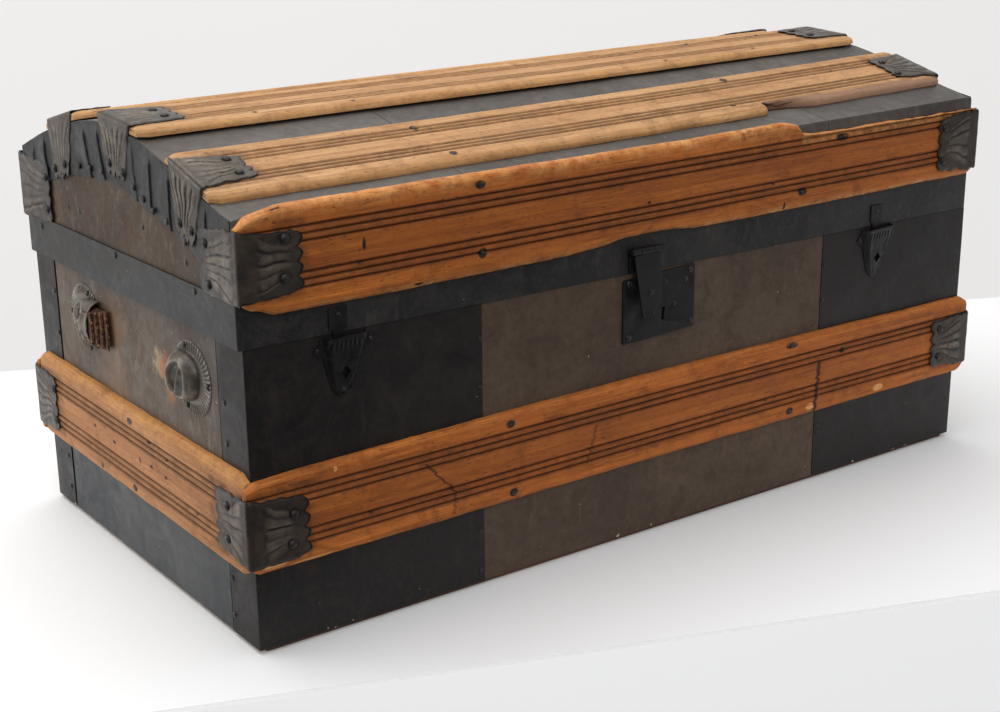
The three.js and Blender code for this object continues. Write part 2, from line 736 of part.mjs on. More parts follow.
const addLidBand = () => {
  const rectangle = (x, y) => [[-x, -y], [x, -y], [x, y], [-x, y]];
  const ring = shapeOf(rectangle(lidHalfLength, bandFace));
  const inner = rectangle(lidHalfLength - sheetThickness, bandFace - sheetThickness);
  ring.holes.push(new THREE.Path(inner.map(([x, y]) => new THREE.Vector2(x, y))));
  const band = new THREE.ExtrudeGeometry(ring, { depth: lidBand.height, bevelEnabled: false, steps: 1 });
  addPiece("lid_band", band.translate(0, 0, lidBase), greySheet, lidFrame);
};

// Lid slats: two on the walls and three on the dome

const lidSlatLength = 2 * lidHalfLength;
const wallSlatMiddle = lidBase + wallSlatRise + slat.width / 2;

// The front slat has lost a strip of its upper edge from a place right of the middle to its right end.
const frontSlatGeometry = () => {
  const half = slat.width / 2;
  const lost = boxBetween(
    [lidSlatLength * lostStrip.startShare, lidSlatLength],
    [half - lostStrip.width, half + cutOverrun],
    [-cutOverrun, slat.thickness + cutOverrun],
  );
  return cutFrom(slatGeometry(lidSlatLength), lost);
};

const addLidSlats = () => {
  const reach = bandFace + nailedGap;
  const front = faceGroup(sideGroup("front", lidFrame), reach, wallSlatMiddle);
  addSlat(front, "lid_front_slat", lidSlatLength, frontSlatGeometry());
  addEndClamps(front, ["lid_front_slat_left_clamp", "lid_front_slat_right_clamp"], lidSlatLength);
  const back = faceGroup(sideGroup("back", lidFrame), reach, wallSlatMiddle);
  addSlat(back, "lid_back_slat", lidSlatLength);
  addEndClamps(back, ["lid_back_slat_right_clamp", "lid_back_slat_left_clamp"], lidSlatLength);
  [...front.children, ...back.children].forEach((mesh) => climbed(mesh, lidClimb.wallSlat, wholeShare));
  const domeSlats = [
    ["lid_front_slope_slat", domeSlatShares.front],
    ["lid_top_slat", domeSlatShares.top],
    ["lid_back_slope_slat", domeSlatShares.back],
  ];
  domeSlats.forEach(([name, share]) => {
    const place = halfDepth * share;
    const tilt = Math.atan(domeSlope(place));
    const face = new THREE.Group();
    face.position.set(0, place, domeInside(place, -seatGap));
    face.rotation.x = tilt;
    lidFrame.add(face);
    addSlat(face, name, lidSlatLength, slatGeometry(lidSlatLength, slat.domeThickness));
    addEndClamps(face, [`${name}_left_clamp`, `${name}_right_clamp`], lidSlatLength, slat.domeThickness, -tilt);
    face.children.forEach((mesh) => climbed(mesh, lidClimb.dome, wholeShare));
  });
};

// Back hinges: a body leaf with two knuckles and the pin, and a lid leaf with one knuckle

const hingeAxis = { y: halfDepth + hingeBarrel.reach, z: (seamHeight + lidBase) / 2 };

const addHinge = (side, place) => {
  const leafHalf = hinge.width / 2;
  const innerHalf = hingeBarrel.middleWidth / 2;
  const { radius, pinRadius, boreRadius } = hingeBarrel;
  const rod = (r, x0, x1) => rodAlongX(r, x0, x1, hingeAxis.y, hingeAxis.z, hinge.steps);
  const bodyBack = halfDepth + nailedGap;
  const bodyTop = hingeAxis.z - radius - seatGap;
  const bodyLeaf = boxBetween(
    [-leafHalf, leafHalf],
    [bodyBack, bodyBack + hinge.thickness],
    [bodyTop - hinge.leafHeight, bodyTop],
  );
  const outerParts = [[-leafHalf, -innerHalf - seatGap], [innerHalf + seatGap, leafHalf]].flatMap(([x0, x1]) => [
    rod(radius, x0, x1),
    boxBetween([x0, x1], [bodyBack, hingeAxis.y], [bodyTop - seatGap, seamHeight - nailedGap]),
  ]);
  const pinHalf = (innerHalf + leafHalf) / 2;
  const pin = rod(pinRadius, -pinHalf, pinHalf);
  const body = addPiece(`${side}_hinge_body_leaf`, joined(bodyLeaf, ...outerParts, pin), darkIron);
  body.position.x = place;
  const lidFace = bandFace + nailedGap;
  const lidBottom = hingeAxis.z + radius + seatGap;
  const lidLeaf = boxBetween(
    [-leafHalf, leafHalf],
    [lidFace, lidFace + hinge.thickness],
    [lidBottom, lidBottom + hinge.lidLeafHeight],
  );
  const web = boxBetween(
    [-innerHalf, innerHalf],
    [lidFace, hingeAxis.y],
    [lidBase + nailedGap, lidBottom + seatGap],
  );
  const bore = rod(boreRadius, -leafHalf, leafHalf);
  const leafSolid = joined(lidLeaf, rod(radius, -innerHalf, innerHalf), web);
  const lid = addPiece(`${side}_hinge_lid_leaf`, cutFrom(leafSolid, bore), darkIron);
  lid.position.x = place;
};

addRunners();
addBodyBoards();
addBodySheets();
addBelt();
addLeatherStub(addCaps("left", ["left_rear_handle_cap", "left_front_handle_cap"]));
addCaps("right", ["right_front_handle_cap", "right_rear_handle_cap"]);
addLock();
addPocket("left_catch_pocket", catchPlaces.left);
addPocket("right_catch_pocket", catchPlaces.right);
addLidBoards();
addLidSheet();
addLidBand();
addLidSlats();
addTongue("left_catch_tongue", catchPlaces.left);
addTongue("right_catch_tongue", catchPlaces.right);
addHaspPlate();
addHaspPin();
addHasp();
addHinge("left", -hingePlace);
addHinge("right", hingePlace);

export default trunk;
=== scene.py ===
import json
import math

import bmesh
import bpy
from mathutils import Matrix, Vector, noise

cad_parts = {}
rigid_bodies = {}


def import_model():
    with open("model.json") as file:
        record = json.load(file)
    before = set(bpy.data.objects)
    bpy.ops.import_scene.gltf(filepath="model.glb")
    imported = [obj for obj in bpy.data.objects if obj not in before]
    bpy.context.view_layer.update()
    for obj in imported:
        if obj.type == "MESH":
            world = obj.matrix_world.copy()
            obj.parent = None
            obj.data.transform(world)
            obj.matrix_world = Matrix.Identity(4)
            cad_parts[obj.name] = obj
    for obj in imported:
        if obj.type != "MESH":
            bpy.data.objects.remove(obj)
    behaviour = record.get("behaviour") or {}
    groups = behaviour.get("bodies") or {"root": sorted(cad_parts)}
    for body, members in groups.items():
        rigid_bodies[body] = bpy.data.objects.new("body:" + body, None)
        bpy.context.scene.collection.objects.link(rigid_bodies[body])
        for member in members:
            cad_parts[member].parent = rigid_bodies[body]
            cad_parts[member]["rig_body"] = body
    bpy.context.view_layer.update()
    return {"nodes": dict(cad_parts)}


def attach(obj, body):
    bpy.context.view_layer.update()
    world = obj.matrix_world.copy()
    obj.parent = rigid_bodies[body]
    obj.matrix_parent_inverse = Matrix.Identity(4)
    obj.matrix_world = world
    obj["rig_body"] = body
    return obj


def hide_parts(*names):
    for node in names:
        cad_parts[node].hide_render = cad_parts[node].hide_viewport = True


# Shapes are worked out in millimetres, in the trunk's own frame, and made metres when a piece is finished.

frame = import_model()
metresPerMm = 0.001
print("frame loaded")

# Places of the trunk that several pieces share, and how far its lid climbs towards the right

trunkPlaces = {
    "halfDepth": 154, "seam": 184, "lidBase": 184.4, "bandTop": 211.4, "fold": 257, "lidLeft": -308,
    "lidLength": 612, "lidMiddle": -2, "beltHeight": 79.5, "wallSlatHeight": 230.5, "sheetFoot": 3.1,
    "domeClimb": 11, "wallSlatClimb": 5,
}
lidLeft, lidRight = trunkPlaces["lidLeft"], trunkPlaces["lidLeft"] + trunkPlaces["lidLength"]
outwards = {"front": (0, -1, 0), "back": (0, 1, 0), "left": (-1, 0, 0), "right": (1, 0, 0)}


def lidClimb(x, amount):
    return amount * (x - trunkPlaces["lidLeft"]) / trunkPlaces["lidLength"]


def wallShare(z):
    share = (z - trunkPlaces["bandTop"]) / (trunkPlaces["fold"] - trunkPlaces["bandTop"])
    return min(max(share, 0), 1)


def wander(place, size, seed):
    return noise.noise(Vector((place / size, seed * 3.17, seed)))


def wanderAt(a, b, size, seed):
    return noise.noise(Vector((a / size, b / size, seed * 5.3)))


def eased(value):
    value = min(max(value, 0), 1)
    return value * value * (3 - 2 * value)


def alongLine(points, place):
    if place <= points[0][0]:
        return points[0][1]
    for (startPlace, startValue), (endPlace, endValue) in zip(points, points[1:]):
        if place <= endPlace:
            share = (place - startPlace) / (endPlace - startPlace)
            return startValue + (endValue - startValue) * share
    return points[-1][1]


# Camera at the photograph's angle

cameraPlace = {
    "azimuth": -36.004, "elevation": 17.112, "roll": -0.56, "lens": 57.107, "sensor": 36,
    "place": (-0.6773, -0.9042, 0.4341),
}


def addCamera():
    turn, rise, roll = (math.radians(cameraPlace[k]) for k in ("azimuth", "elevation", "roll"))
    back = Vector((math.sin(turn) * math.cos(rise), -math.cos(turn) * math.cos(rise), math.sin(rise)))
    side = Vector((0, 0, 1)).cross(back).normalized()
    up = back.cross(side)
    side, up = (
        math.cos(roll) * side + math.sin(roll) * up,
        -math.sin(roll) * side + math.cos(roll) * up,
    )
    data = bpy.data.cameras.new("camera")
    data.lens = cameraPlace["lens"]
    data.sensor_width = cameraPlace["sensor"]
    data.sensor_fit = "HORIZONTAL"
    camera = bpy.data.objects.new("camera", data)
    turned = Matrix((side, up, back)).transposed().to_4x4()
    camera.matrix_world = Matrix.Translation(cameraPlace["place"]) @ turned
    bpy.context.scene.collection.objects.link(camera)
    bpy.context.scene.camera = camera


addCamera()
print("camera placed")

# Node helpers for the finishes


def tint(red, green, blue):
    # A colour that is read off a screen, from 0 to 255, as the linear shares that a shader takes.
    shares = [channel / 255 for channel in (red, green, blue)]
    return tuple(s / 12.92 if s < 0.04045 else ((s + 0.055) / 1.055) ** 2.4 for s in shares) + (1,)


def plug(tree, socket, value):
    if isinstance(value, bpy.types.NodeSocket):
        tree.links.new(value, socket)
    else:
        socket.default_value = value


def newNode(tree, kind, sockets=None, **settings):
    made = tree.nodes.new("ShaderNode" + kind)
    for setting, value in settings.items():
        setattr(made, setting, value)
    for place, value in (sockets or {}).items():
        plug(tree, made.inputs[place], value)
    return made


def startFinish(name, roughness=0.6, metallic=0.0, specular=0.5):
    material = bpy.data.materials.new(name)
    material.use_nodes = True
    tree = material.node_tree
    tree.nodes.clear()
    shader = newNode(tree, "BsdfPrincipled", {"Roughness": roughness, "Metallic": metallic})
    shader.inputs["Specular IOR Level"].default_value = specular
    output = tree.nodes.new("ShaderNodeOutputMaterial")
    tree.links.new(shader.outputs[0], output.inputs[0])
    return material, tree, shader


def objectPlace(tree):
    return newNode(tree, "TexCoord").outputs["Object"]


def stretched(tree, vector, scale, turn=(0, 0, 0), shift=(0, 0, 0)):
    made = newNode(tree, "Mapping", {"Vector": vector, "Location": shift, "Rotation": turn, "Scale": scale})
    return made.outputs[0]


def cloudy(tree, vector, scale, detail=4, roughness=0.55, distortion=0.0):
    sockets = {"Vector": vector, "Scale": scale, "Detail": detail, "Roughness": roughness}
    return newNode(tree, "TexNoise", {**sockets, "Distortion": distortion}).outputs[0]


def cellEdges(tree, vector, scale):
    sockets = {"Vector": vector, "Scale": scale}
    return newNode(tree, "TexVoronoi", sockets, feature="DISTANCE_TO_EDGE").outputs[0]


def spread(tree, value, low, high, start=0.0, end=1.0):
    return newNode(tree, "MapRange", {0: value, 1: low, 2: high, 3: start, 4: end}).outputs[0]


def maths(tree, operation, first, second=0.0):
    return newNode(tree, "Math", {0: first, 1: second}, operation=operation).outputs[0]


def times(tree, first, second):
    return maths(tree, "MULTIPLY", first, second)


def added(tree, first, second):
    return maths(tree, "ADD", first, second)


def less(tree, first, second):
    return maths(tree, "SUBTRACT", first, second)


def mixed(tree, share, first, second):
    return newNode(tree, "Mix", {0: share, 6: first, 7: second}, data_type="RGBA").outputs[2]


def covered(tree, colour, share, cover):
    # Covers a colour by a share with one that is given from 0 to 255.
    return mixed(tree, share, colour, tint(*cover))


def shaded(tree, value, first, second, low=0.35, high=0.65):
    return mixed(tree, spread(tree, value, low, high), tint(*first), tint(*second))


def attribute(tree, name):
    return newNode(tree, "Attribute", attribute_name=name).outputs["Fac"]


def axes(tree, vector):
    return newNode(tree, "SeparateXYZ", {0: vector}).outputs


def bumped(tree, height, strength, distance, under=None):
    made = newNode(tree, "Bump", {"Height": height, "Strength": strength, "Distance": distance})
    if under is not None:
        tree.links.new(under, made.inputs["Normal"])
    return made.outputs[0]


# Finishes: slat wood, with its grain on the piece's own grain map in metres


# One slat wood in three copies, by the way the slats face: the top copy is paler and yellower, the front copy
# darker and redder with darker grooves. This is partly the wood's own fading and varnish, and partly painted
# light on the top copy and painted shade on the front copy.
woodLooks = {
    "front_wood": {
        "pale": (206, 122, 48), "middle": (174, 96, 38), "deep": (118, 58, 22), "groove": (44, 20, 9),
        "worn": (222, 166, 102), "faded": (120, 96, 84), "dirt": (58, 36, 24), "hole": (26, 18, 15),
        "roughness": 0.55, "shellac": 0.5,
    },
    "top_wood": {
        "pale": (212, 170, 122), "middle": (188, 142, 96), "deep": (142, 96, 56), "groove": (60, 34, 16),
        "worn": (214, 160, 96), "faded": (136, 104, 86), "dirt": (84, 56, 38), "hole": (26, 18, 15),
        "roughness": 0.62, "shellac": 0.25,
    },
    "end_wood": {
        "pale": (202, 146, 94), "middle": (180, 122, 74), "deep": (138, 86, 48), "groove": (60, 34, 18),
        "worn": (208, 150, 74), "faded": (120, 96, 84), "dirt": (66, 42, 30), "hole": (26, 18, 15),
        "roughness": 0.58, "shellac": 0.2,
    },
}


def crackLine(tree, along, across, crack):
    middle = maths(tree, "MULTIPLY_ADD", across, crack["lean"])
    middle.node.inputs[2].default_value = crack["place"] * metresPerMm
    ripple = newNode(tree, "CombineXYZ", {0: across, 1: crack["place"]}).outputs[0]
    ripple = cloudy(tree, ripple, 260, 4, 0.65)
    ripple = spread(tree, ripple, 0.3, 0.7, -2 * metresPerMm, 2 * metresPerMm)
    offset = maths(tree, "ABSOLUTE", less(tree, less(tree, along, middle), ripple))
    fibres = newNode(tree, "CombineXYZ", {0: along, 1: times(tree, across, 4)}).outputs[0]
    splinter = cloudy(tree, fibres, 300, 2)
    offset = added(tree, offset, spread(tree, splinter, 0.3, 0.7, -0.5 * metresPerMm, 0.5 * metresPerMm))
    line = spread(tree, offset, crack["width"] * metresPerMm, crack["width"] * 0.4 * metresPerMm)
    low = spread(tree, across, (crack["low"] - 1) * metresPerMm, crack["low"] * metresPerMm)
    high = spread(tree, across, crack["high"] * metresPerMm, (crack["high"] + 1) * metresPerMm, 1, 0)
    return times(tree, line, times(tree, low, high))


def spots(tree, vector, marks):
    # Each mark is an oval: place along and across the slat and its two half widths, in millimetres.
    found = None
    for along, across, wide, high in marks:
        scale = (1 / (wide * metresPerMm), 1 / (high * metresPerMm), 0)
        moved = stretched(tree, vector, scale, (0, 0, 0), (-along / wide, -across / high, 0))
        distance = newNode(tree, "VectorMath", {0: moved}, operation="LENGTH").outputs["Value"]
        spot = spread(tree, distance, 1.25, 0.8)
        found = spot if found is None else maths(tree, "MAXIMUM", found, spot)
    return found


def slatFinish(name, wood, slat=None, cracks=(), holes=(), chips=()):
    look = woodLooks[wood]
    material, tree, shader = startFinish(name, look["roughness"], 0, 0.22)
    grain = newNode(tree, "UVMap", uv_map="grain").outputs[0]
    place = objectPlace(tree)
    fibre = cloudy(tree, stretched(tree, grain, (7, 430, 1)), 1, 6, 0.68, 0.4)
    fine = cloudy(tree, stretched(tree, grain, (46, 1700, 1)), 1, 4, 0.7)
    blotch = cloudy(tree, place, 13, 5, 0.66, 0.8)
    broad = cloudy(tree, stretched(tree, grain, (5, 70, 1)), 1, 4, 0.6)
    share = added(tree, times(tree, fibre, 0.42), times(tree, fine, 0.3))
    share = added(tree, share, times(tree, broad, 0.28))
    colour = mixed(tree, spread(tree, share, 0.4, 0.6), tint(*look["deep"]), tint(*look["pale"]))
    colour = covered(tree, colour, spread(tree, blotch, 0.4, 0.6, 0, 0.6), look["middle"])
    stain = cloudy(tree, stretched(tree, place, (0.6, 0.6, 1)), 42, 6, 0.7, 1.2)
    colour = covered(tree, colour, spread(tree, stain, 0.52, 0.7, 0, 0.75), look["deep"])
    smudge = cloudy(tree, stretched(tree, grain, (14, 52, 1)), 1, 6, 0.74, 1.6)
    colour = covered(tree, colour, spread(tree, smudge, 0.52, 0.7, 0, 0.6), look["deep"])
    soot = cloudy(tree, place, 30, 6, 0.76, 0.8)
    colour = covered(tree, colour, spread(tree, soot, 0.55, 0.72, 0, 0.5), look["dirt"])
    # Old shellac is darker and redder in the field between the grooves.
    field = maths(tree, "ABSOLUTE", axes(tree, grain)[1])
    shellac = times(tree, spread(tree, field, 0.021, 0.016), spread(tree, stain, 0.72, 0.4))
    colour = covered(tree, colour, times(tree, shellac, look["shellac"]), look["deep"])
    patchy = spread(tree, cloudy(tree, place, 120, 6, 0.75), 0.38, 0.6)
    worn = times(tree, attribute(tree, "worn"), patchy)
    colour = covered(tree, colour, times(tree, worn, 0.8), look["worn"])
    sawn = cloudy(tree, stretched(tree, grain, (760, 60, 1)), 1, 3, 0.6)
    sawn = times(tree, spread(tree, sawn, 0.6, 0.7, 0, 0.5), spread(tree, blotch, 0.46, 0.6))
    colour = covered(tree, colour, sawn, look["deep"])
    colour = covered(tree, colour, attribute(tree, "faded"), look["faded"])
    groove = maths(tree, "POWER", attribute(tree, "groove"), 0.8)
    colour = covered(tree, colour, times(tree, groove, 0.92), look["groove"])
    patchy = spread(tree, cloudy(tree, place, 110, 5, 0.7), 0.3, 0.62)
    dirt = times(tree, attribute(tree, "dirt"), patchy)
    colour = covered(tree, colour, dirt, look["dirt"])
    pores = spread(tree, cloudy(tree, stretched(tree, grain, (210, 760, 1)), 1, 3, 0.6), 0.62, 0.72, 0, 0.9)
    colour = covered(tree, colour, pores, look["groove"])
    dents = spread(tree, cloudy(tree, stretched(tree, grain, (90, 320, 1)), 1, 4, 0.7), 0.62, 0.74)
    colour = covered(tree, colour, times(tree, dents, 0.6), look["dirt"])
    height = added(tree, times(tree, fibre, 0.6), times(tree, fine, 0.4))
    height = less(tree, height, times(tree, added(tree, dents, pores), 0.5))
    if chips:
        chip = times(tree, spots(tree, grain, fromMiddle(slat, chips)), spread(tree, fine, 0.4, 0.55))
        colour = covered(tree, colour, chip, look["worn"])
    if holes:
        ragged = spread(tree, cloudy(tree, place, 260, 4, 0.7), 0.25, 0.5)
        hole = times(tree, spots(tree, grain, fromMiddle(slat, holes)), ragged)
        colour = covered(tree, colour, hole, look["hole"])
        height = less(tree, height, times(tree, hole, 2))
    for crack in cracks:
        line = crackLine(tree, *axes(tree, grain)[:2], crack)
        colour = covered(tree, colour, times(tree, line, crack["depth"]), look["groove"])
        height = less(tree, height, times(tree, line, 2))
    plug(tree, shader.inputs["Base Color"], colour)
    rough = spread(tree, fine, 0.3, 0.7, look["roughness"] - 0.12, look["roughness"] + 0.18)
    plug(tree, shader.inputs["Roughness"], rough)
    plug(tree, shader.inputs["Normal"], bumped(tree, height, 0.7, 0.0007))
    return material


# Finishes: painted and japanned sheet metal

sheetLooks = {
    "black_sheet": {
        "first": (16, 14, 14), "second": (27, 24, 23), "scuff": (60, 53, 49), "chip": (196, 176, 150),
        "wear": (44, 34, 29), "scuffShare": 0.35, "chipTop": 0.009, "roughness": 0.46, "specular": 0.26,
        "metallic": 0.0,
    },
    "olive_sheet": {
        "first": (66, 52, 42), "second": (82, 67, 53), "scuff": (116, 99, 78), "chip": (190, 172, 140),
        "wear": (60, 44, 36), "scuffShare": 0.3, "chipTop": 0.009, "roughness": 0.62, "specular": 0.3,
        "metallic": 0.0,
    },
    "grey_sheet": {
        "first": (62, 59, 56), "second": (86, 82, 78), "scuff": (122, 116, 108), "chip": (190, 180, 165),
        "wear": (70, 60, 54), "scuffShare": 0.4, "chipTop": -1, "roughness": 0.48, "specular": 0.4,
        "metallic": 0.2,
    },
    "band_sheet": {
        "first": (22, 22, 23), "second": (37, 36, 36), "scuff": (78, 74, 70), "chip": (180, 165, 145),
        "wear": (60, 54, 50), "scuffShare": 0.5, "chipTop": -1, "roughness": 0.44, "specular": 0.32,
        "metallic": 0.1,
    },
    "end_sheet": {
        "first": (62, 51, 42), "second": (88, 74, 60), "scuff": (128, 116, 98), "chip": (190, 176, 150),
        "wear": (84, 60, 44), "scuffShare": 0.7, "chipTop": -1, "roughness": 0.5, "specular": 0.35,
        "metallic": 0.1, "belowSlat": ((48, 50, 53), (70, 71, 72)),
        "stains": (
            {"place": (-0.305, -0.041, 0.150), "radius": 0.011, "share": 0.6, "colour": (176, 156, 120)},
            {"place": (-0.305, -0.050, 0.149), "radius": 0.011, "share": 0.8, "colour": (158, 92, 54)},
            {"place": (-0.305, -0.054, 0.133), "radius": 0.008, "share": 0.75, "colour": (146, 84, 48)},
            {"place": (-0.305, 0.022, 0.158), "radius": 0.022, "share": 0.5, "colour": (122, 90, 58)},
            {"place": (-0.305, 0.030, 0.122), "radius": 0.026, "share": 0.5, "colour": (122, 90, 62)},
        ),
    },
}


def sheetColour(tree, place, look):
    patches = cloudy(tree, place, 9, 5, 0.62, 0.5)
    colour = shaded(tree, patches, look["first"], look["second"], 0.38, 0.62)
    mottle = cloudy(tree, place, 46, 6, 0.7, 0.8)
    colour = covered(tree, colour, spread(tree, mottle, 0.5, 0.72, 0, 0.55), look["wear"])
    scuff = cloudy(tree, stretched(tree, place, (1, 1, 0.35)), 70, 6, 0.72, 1.4)
    colour = covered(tree, colour, spread(tree, scuff, 0.56, 0.75, 0, look["scuffShare"]), look["scuff"])
    threads = cellEdges(tree, stretched(tree, place, (5, 5, 1), (0.35, 0.5, 0.3)), 34)
    scratch = spread(tree, threads, 0.012, 0.003, 0, look["scuffShare"] * 0.7)
    scratch = times(tree, scratch, spread(tree, cloudy(tree, place, 26, 2), 0.52, 0.62))
    colour = covered(tree, colour, scratch, look["scuff"])
    grit = cloudy(tree, place, 170, 5, 0.75)
    colour = covered(tree, colour, spread(tree, grit, 0.5, 0.35, 0, 0.5), look["wear"])
    colour = covered(tree, colour, spread(tree, grit, 0.54, 0.72, 0, look["scuffShare"] * 0.5), look["scuff"])
    return colour, patches, mottle, scuff


def sheetFinish(name):
    look = sheetLooks[name]
    material, tree, shader = startFinish(name, look["roughness"], look["metallic"], look["specular"])
    place = objectPlace(tree)
    colour, patches, mottle, scuff = sheetColour(tree, place, look)
    z = axes(tree, place)[2]
    if "belowSlat" in look:
        # The end sheet is greyer below its slat, which hides the line.
        below = shaded(tree, patches, *look["belowSlat"])
        colour = mixed(tree, spread(tree, z, 0.078, 0.081, 1, 0), colour, below)
    for stain in look.get("stains", ()):
        near = newNode(tree, "VectorMath", {0: place, 1: stain["place"]}, operation="DISTANCE")
        near = near.outputs["Value"]
        ragged = min(0.008, stain["radius"] * 0.5)
        near = added(tree, near, spread(tree, cloudy(tree, place, 120, 4, 0.7), 0.3, 0.7, -ragged, ragged))
        share = spread(tree, near, stain["radius"], stain["radius"] * 0.4, 0, stain["share"])
        colour = covered(tree, colour, share, stain["colour"])
    edge = spread(tree, z, look["chipTop"], look["chipTop"] - 0.006)
    chips = times(tree, edge, spread(tree, cloudy(tree, place, 150, 3, 0.6), 0.66, 0.7))
    colour = covered(tree, colour, chips, look["chip"])
    flecks = spread(tree, cloudy(tree, place, 330, 2, 0.5), 0.765, 0.785, 0, 0.6)
    colour = covered(tree, colour, flecks, look["chip"])
    plug(tree, shader.inputs["Base Color"], colour)
    rough = spread(tree, mottle, 0.3, 0.7, look["roughness"] - 0.12, look["roughness"] + 0.16)
    plug(tree, shader.inputs["Roughness"], rough)
    dents = bumped(tree, cloudy(tree, place, 7, 3, 0.5), 0.35, 0.006)
    plug(tree, shader.inputs["Normal"], bumped(tree, added(tree, mottle, scuff), 0.25, 0.0007, dents))
    return material


# Finishes: stamped and cast metal, with painted shade in the folds' crevices and painted highlights on their
# ridges, read from the piece's fold attribute

# In each look the crevice colour is painted shade for creases, hollows and outlines, and also the colour of
# dark grit; the ridge colour is partly rubbed metal and partly painted highlight.
metalLooks = {
    "clamp_light": {
        "first": (55, 47, 39), "second": (83, 72, 60), "crevice": (17, 13, 11), "ridge": (128, 117, 101),
        "rust": (78, 52, 36), "rustShare": 0.45, "roughness": 0.36, "metallic": 0.5, "specular": 0.6,
    },
    "clamp_dark": {
        "first": (49, 41, 35), "second": (70, 60, 51), "crevice": (15, 12, 10), "ridge": (134, 120, 104),
        "rust": (80, 48, 32), "rustShare": 0.4, "roughness": 0.38, "metallic": 0.5, "specular": 0.55,
    },
    "tab_sheet": {
        "first": (24, 25, 26), "second": (40, 40, 41), "crevice": (6, 6, 6), "ridge": (84, 82, 79),
        "rust": (48, 42, 38), "rustShare": 0.5, "roughness": 0.42, "metallic": 0.2, "specular": 0.3,
    },
    "dark_iron": {
        "first": (17, 16, 18), "second": (29, 27, 28), "crevice": (7, 6, 7), "ridge": (84, 80, 78),
        "rust": (50, 38, 32), "rustShare": 0.3, "roughness": 0.4, "metallic": 0.3, "specular": 0.4,
    },
    "cap_steel": {
        "first": (74, 68, 60), "second": (106, 98, 87), "crevice": (20, 16, 13), "ridge": (176, 168, 150),
        "rust": (128, 76, 40), "rustShare": 0.35, "roughness": 0.38, "metallic": 0.45, "specular": 0.6,
    },
    "nail_steel": {
        "first": (20, 18, 18), "second": (35, 31, 29), "crevice": (12, 10, 10), "ridge": (96, 90, 85),
        "rust": (58, 42, 34), "rustShare": 0.3, "roughness": 0.38, "metallic": 0.4, "specular": 0.5,
    },
}


def metalFinish(name):
    look = metalLooks[name]
    material, tree, shader = startFinish(name, look["roughness"], look["metallic"], look["specular"])
    place = objectPlace(tree)
    patches = cloudy(tree, place, 38, 5, 0.65, 0.6)
    colour = shaded(tree, patches, look["first"], look["second"])
    rust = cloudy(tree, place, 75, 6, 0.72, 1.0)
    colour = covered(tree, colour, spread(tree, rust, 0.52, 0.72, 0, look["rustShare"]), look["rust"])
    fold = attribute(tree, "fold")
    # Painted shade: below a fold of zero the colour goes towards the crevice colour.
    colour = covered(tree, colour, spread(tree, fold, 0.0, -0.8, 0, 0.9), look["crevice"])
    # Painted highlight: ridges above a fold of 0.3 are lightened where there is little rust; this is partly
    # rubbed metal.
    rubbed = times(tree, spread(tree, fold, 0.3, 1, 0, 0.55), spread(tree, rust, 0.7, 0.4))
    colour = covered(tree, colour, rubbed, look["ridge"])
    grit = cloudy(tree, place, 210, 5, 0.75)
    colour = covered(tree, colour, spread(tree, grit, 0.5, 0.3, 0, 0.6), look["crevice"])
    plug(tree, shader.inputs["Base Color"], colour)
    rough = spread(tree, rust, 0.35, 0.7, look["roughness"] - 0.1, look["roughness"] + 0.22)
    plug(tree, shader.inputs["Roughness"], rough)
    fine = cloudy(tree, place, 240, 4, 0.7)
    height = added(tree, times(tree, rust, 0.7), times(tree, fine, 0.3))
    plug(tree, shader.inputs["Normal"], bumped(tree, height, 0.4, 0.0008))
    return material


# Finishes: boards, runners and leather

boardLooks = {
    "board_wood": {
        "pale": (196, 164, 120), "deep": (150, 114, 76), "age": (104, 76, 52), "roughness": 0.78,
        "lengthAxis": 0,
    },
    "runner_wood": {
        "pale": (96, 66, 52), "deep": (66, 42, 34), "age": (40, 26, 22), "roughness": 0.8,
        "lengthAxis": 0,
    },
}
# An end board's outer face shows only in the seams between the sheets, and is dark there.
boardLooks["end_board_wood"] = {**boardLooks["board_wood"], "lengthAxis": 1, "outside": (26, 19, 16)}


def bareBoard(tree, place, look):
    scale = [120, 120, 120]
    scale[look["lengthAxis"]] = 3.5
    fibre = cloudy(tree, stretched(tree, place, scale), 1, 6, 0.6, 0.5)
    return fibre, shaded(tree, fibre, look["deep"], look["pale"])


def boardFinish(name):
    look = boardLooks[name]
    material, tree, shader = startFinish(name, look["roughness"], 0, 0.25)
    place = objectPlace(tree)
    fibre, colour = bareBoard(tree, place, look)
    age = cloudy(tree, place, 8, 5, 0.65, 0.6)
    colour = covered(tree, colour, spread(tree, age, 0.5, 0.75, 0, 0.7), look["age"])
    if "outside" in look:
        outside = spread(tree, maths(tree, "ABSOLUTE", axes(tree, place)[0]), 0.3035, 0.3042)
        colour = covered(tree, colour, outside, look["outside"])
    plug(tree, shader.inputs["Base Color"], colour)
    rough = spread(tree, fibre, 0.3, 0.7, look["roughness"] - 0.1, look["roughness"] + 0.1)
    plug(tree, shader.inputs["Roughness"], rough)
    plug(tree, shader.inputs["Normal"], bumped(tree, fibre, 0.4, 0.0008))
    return material


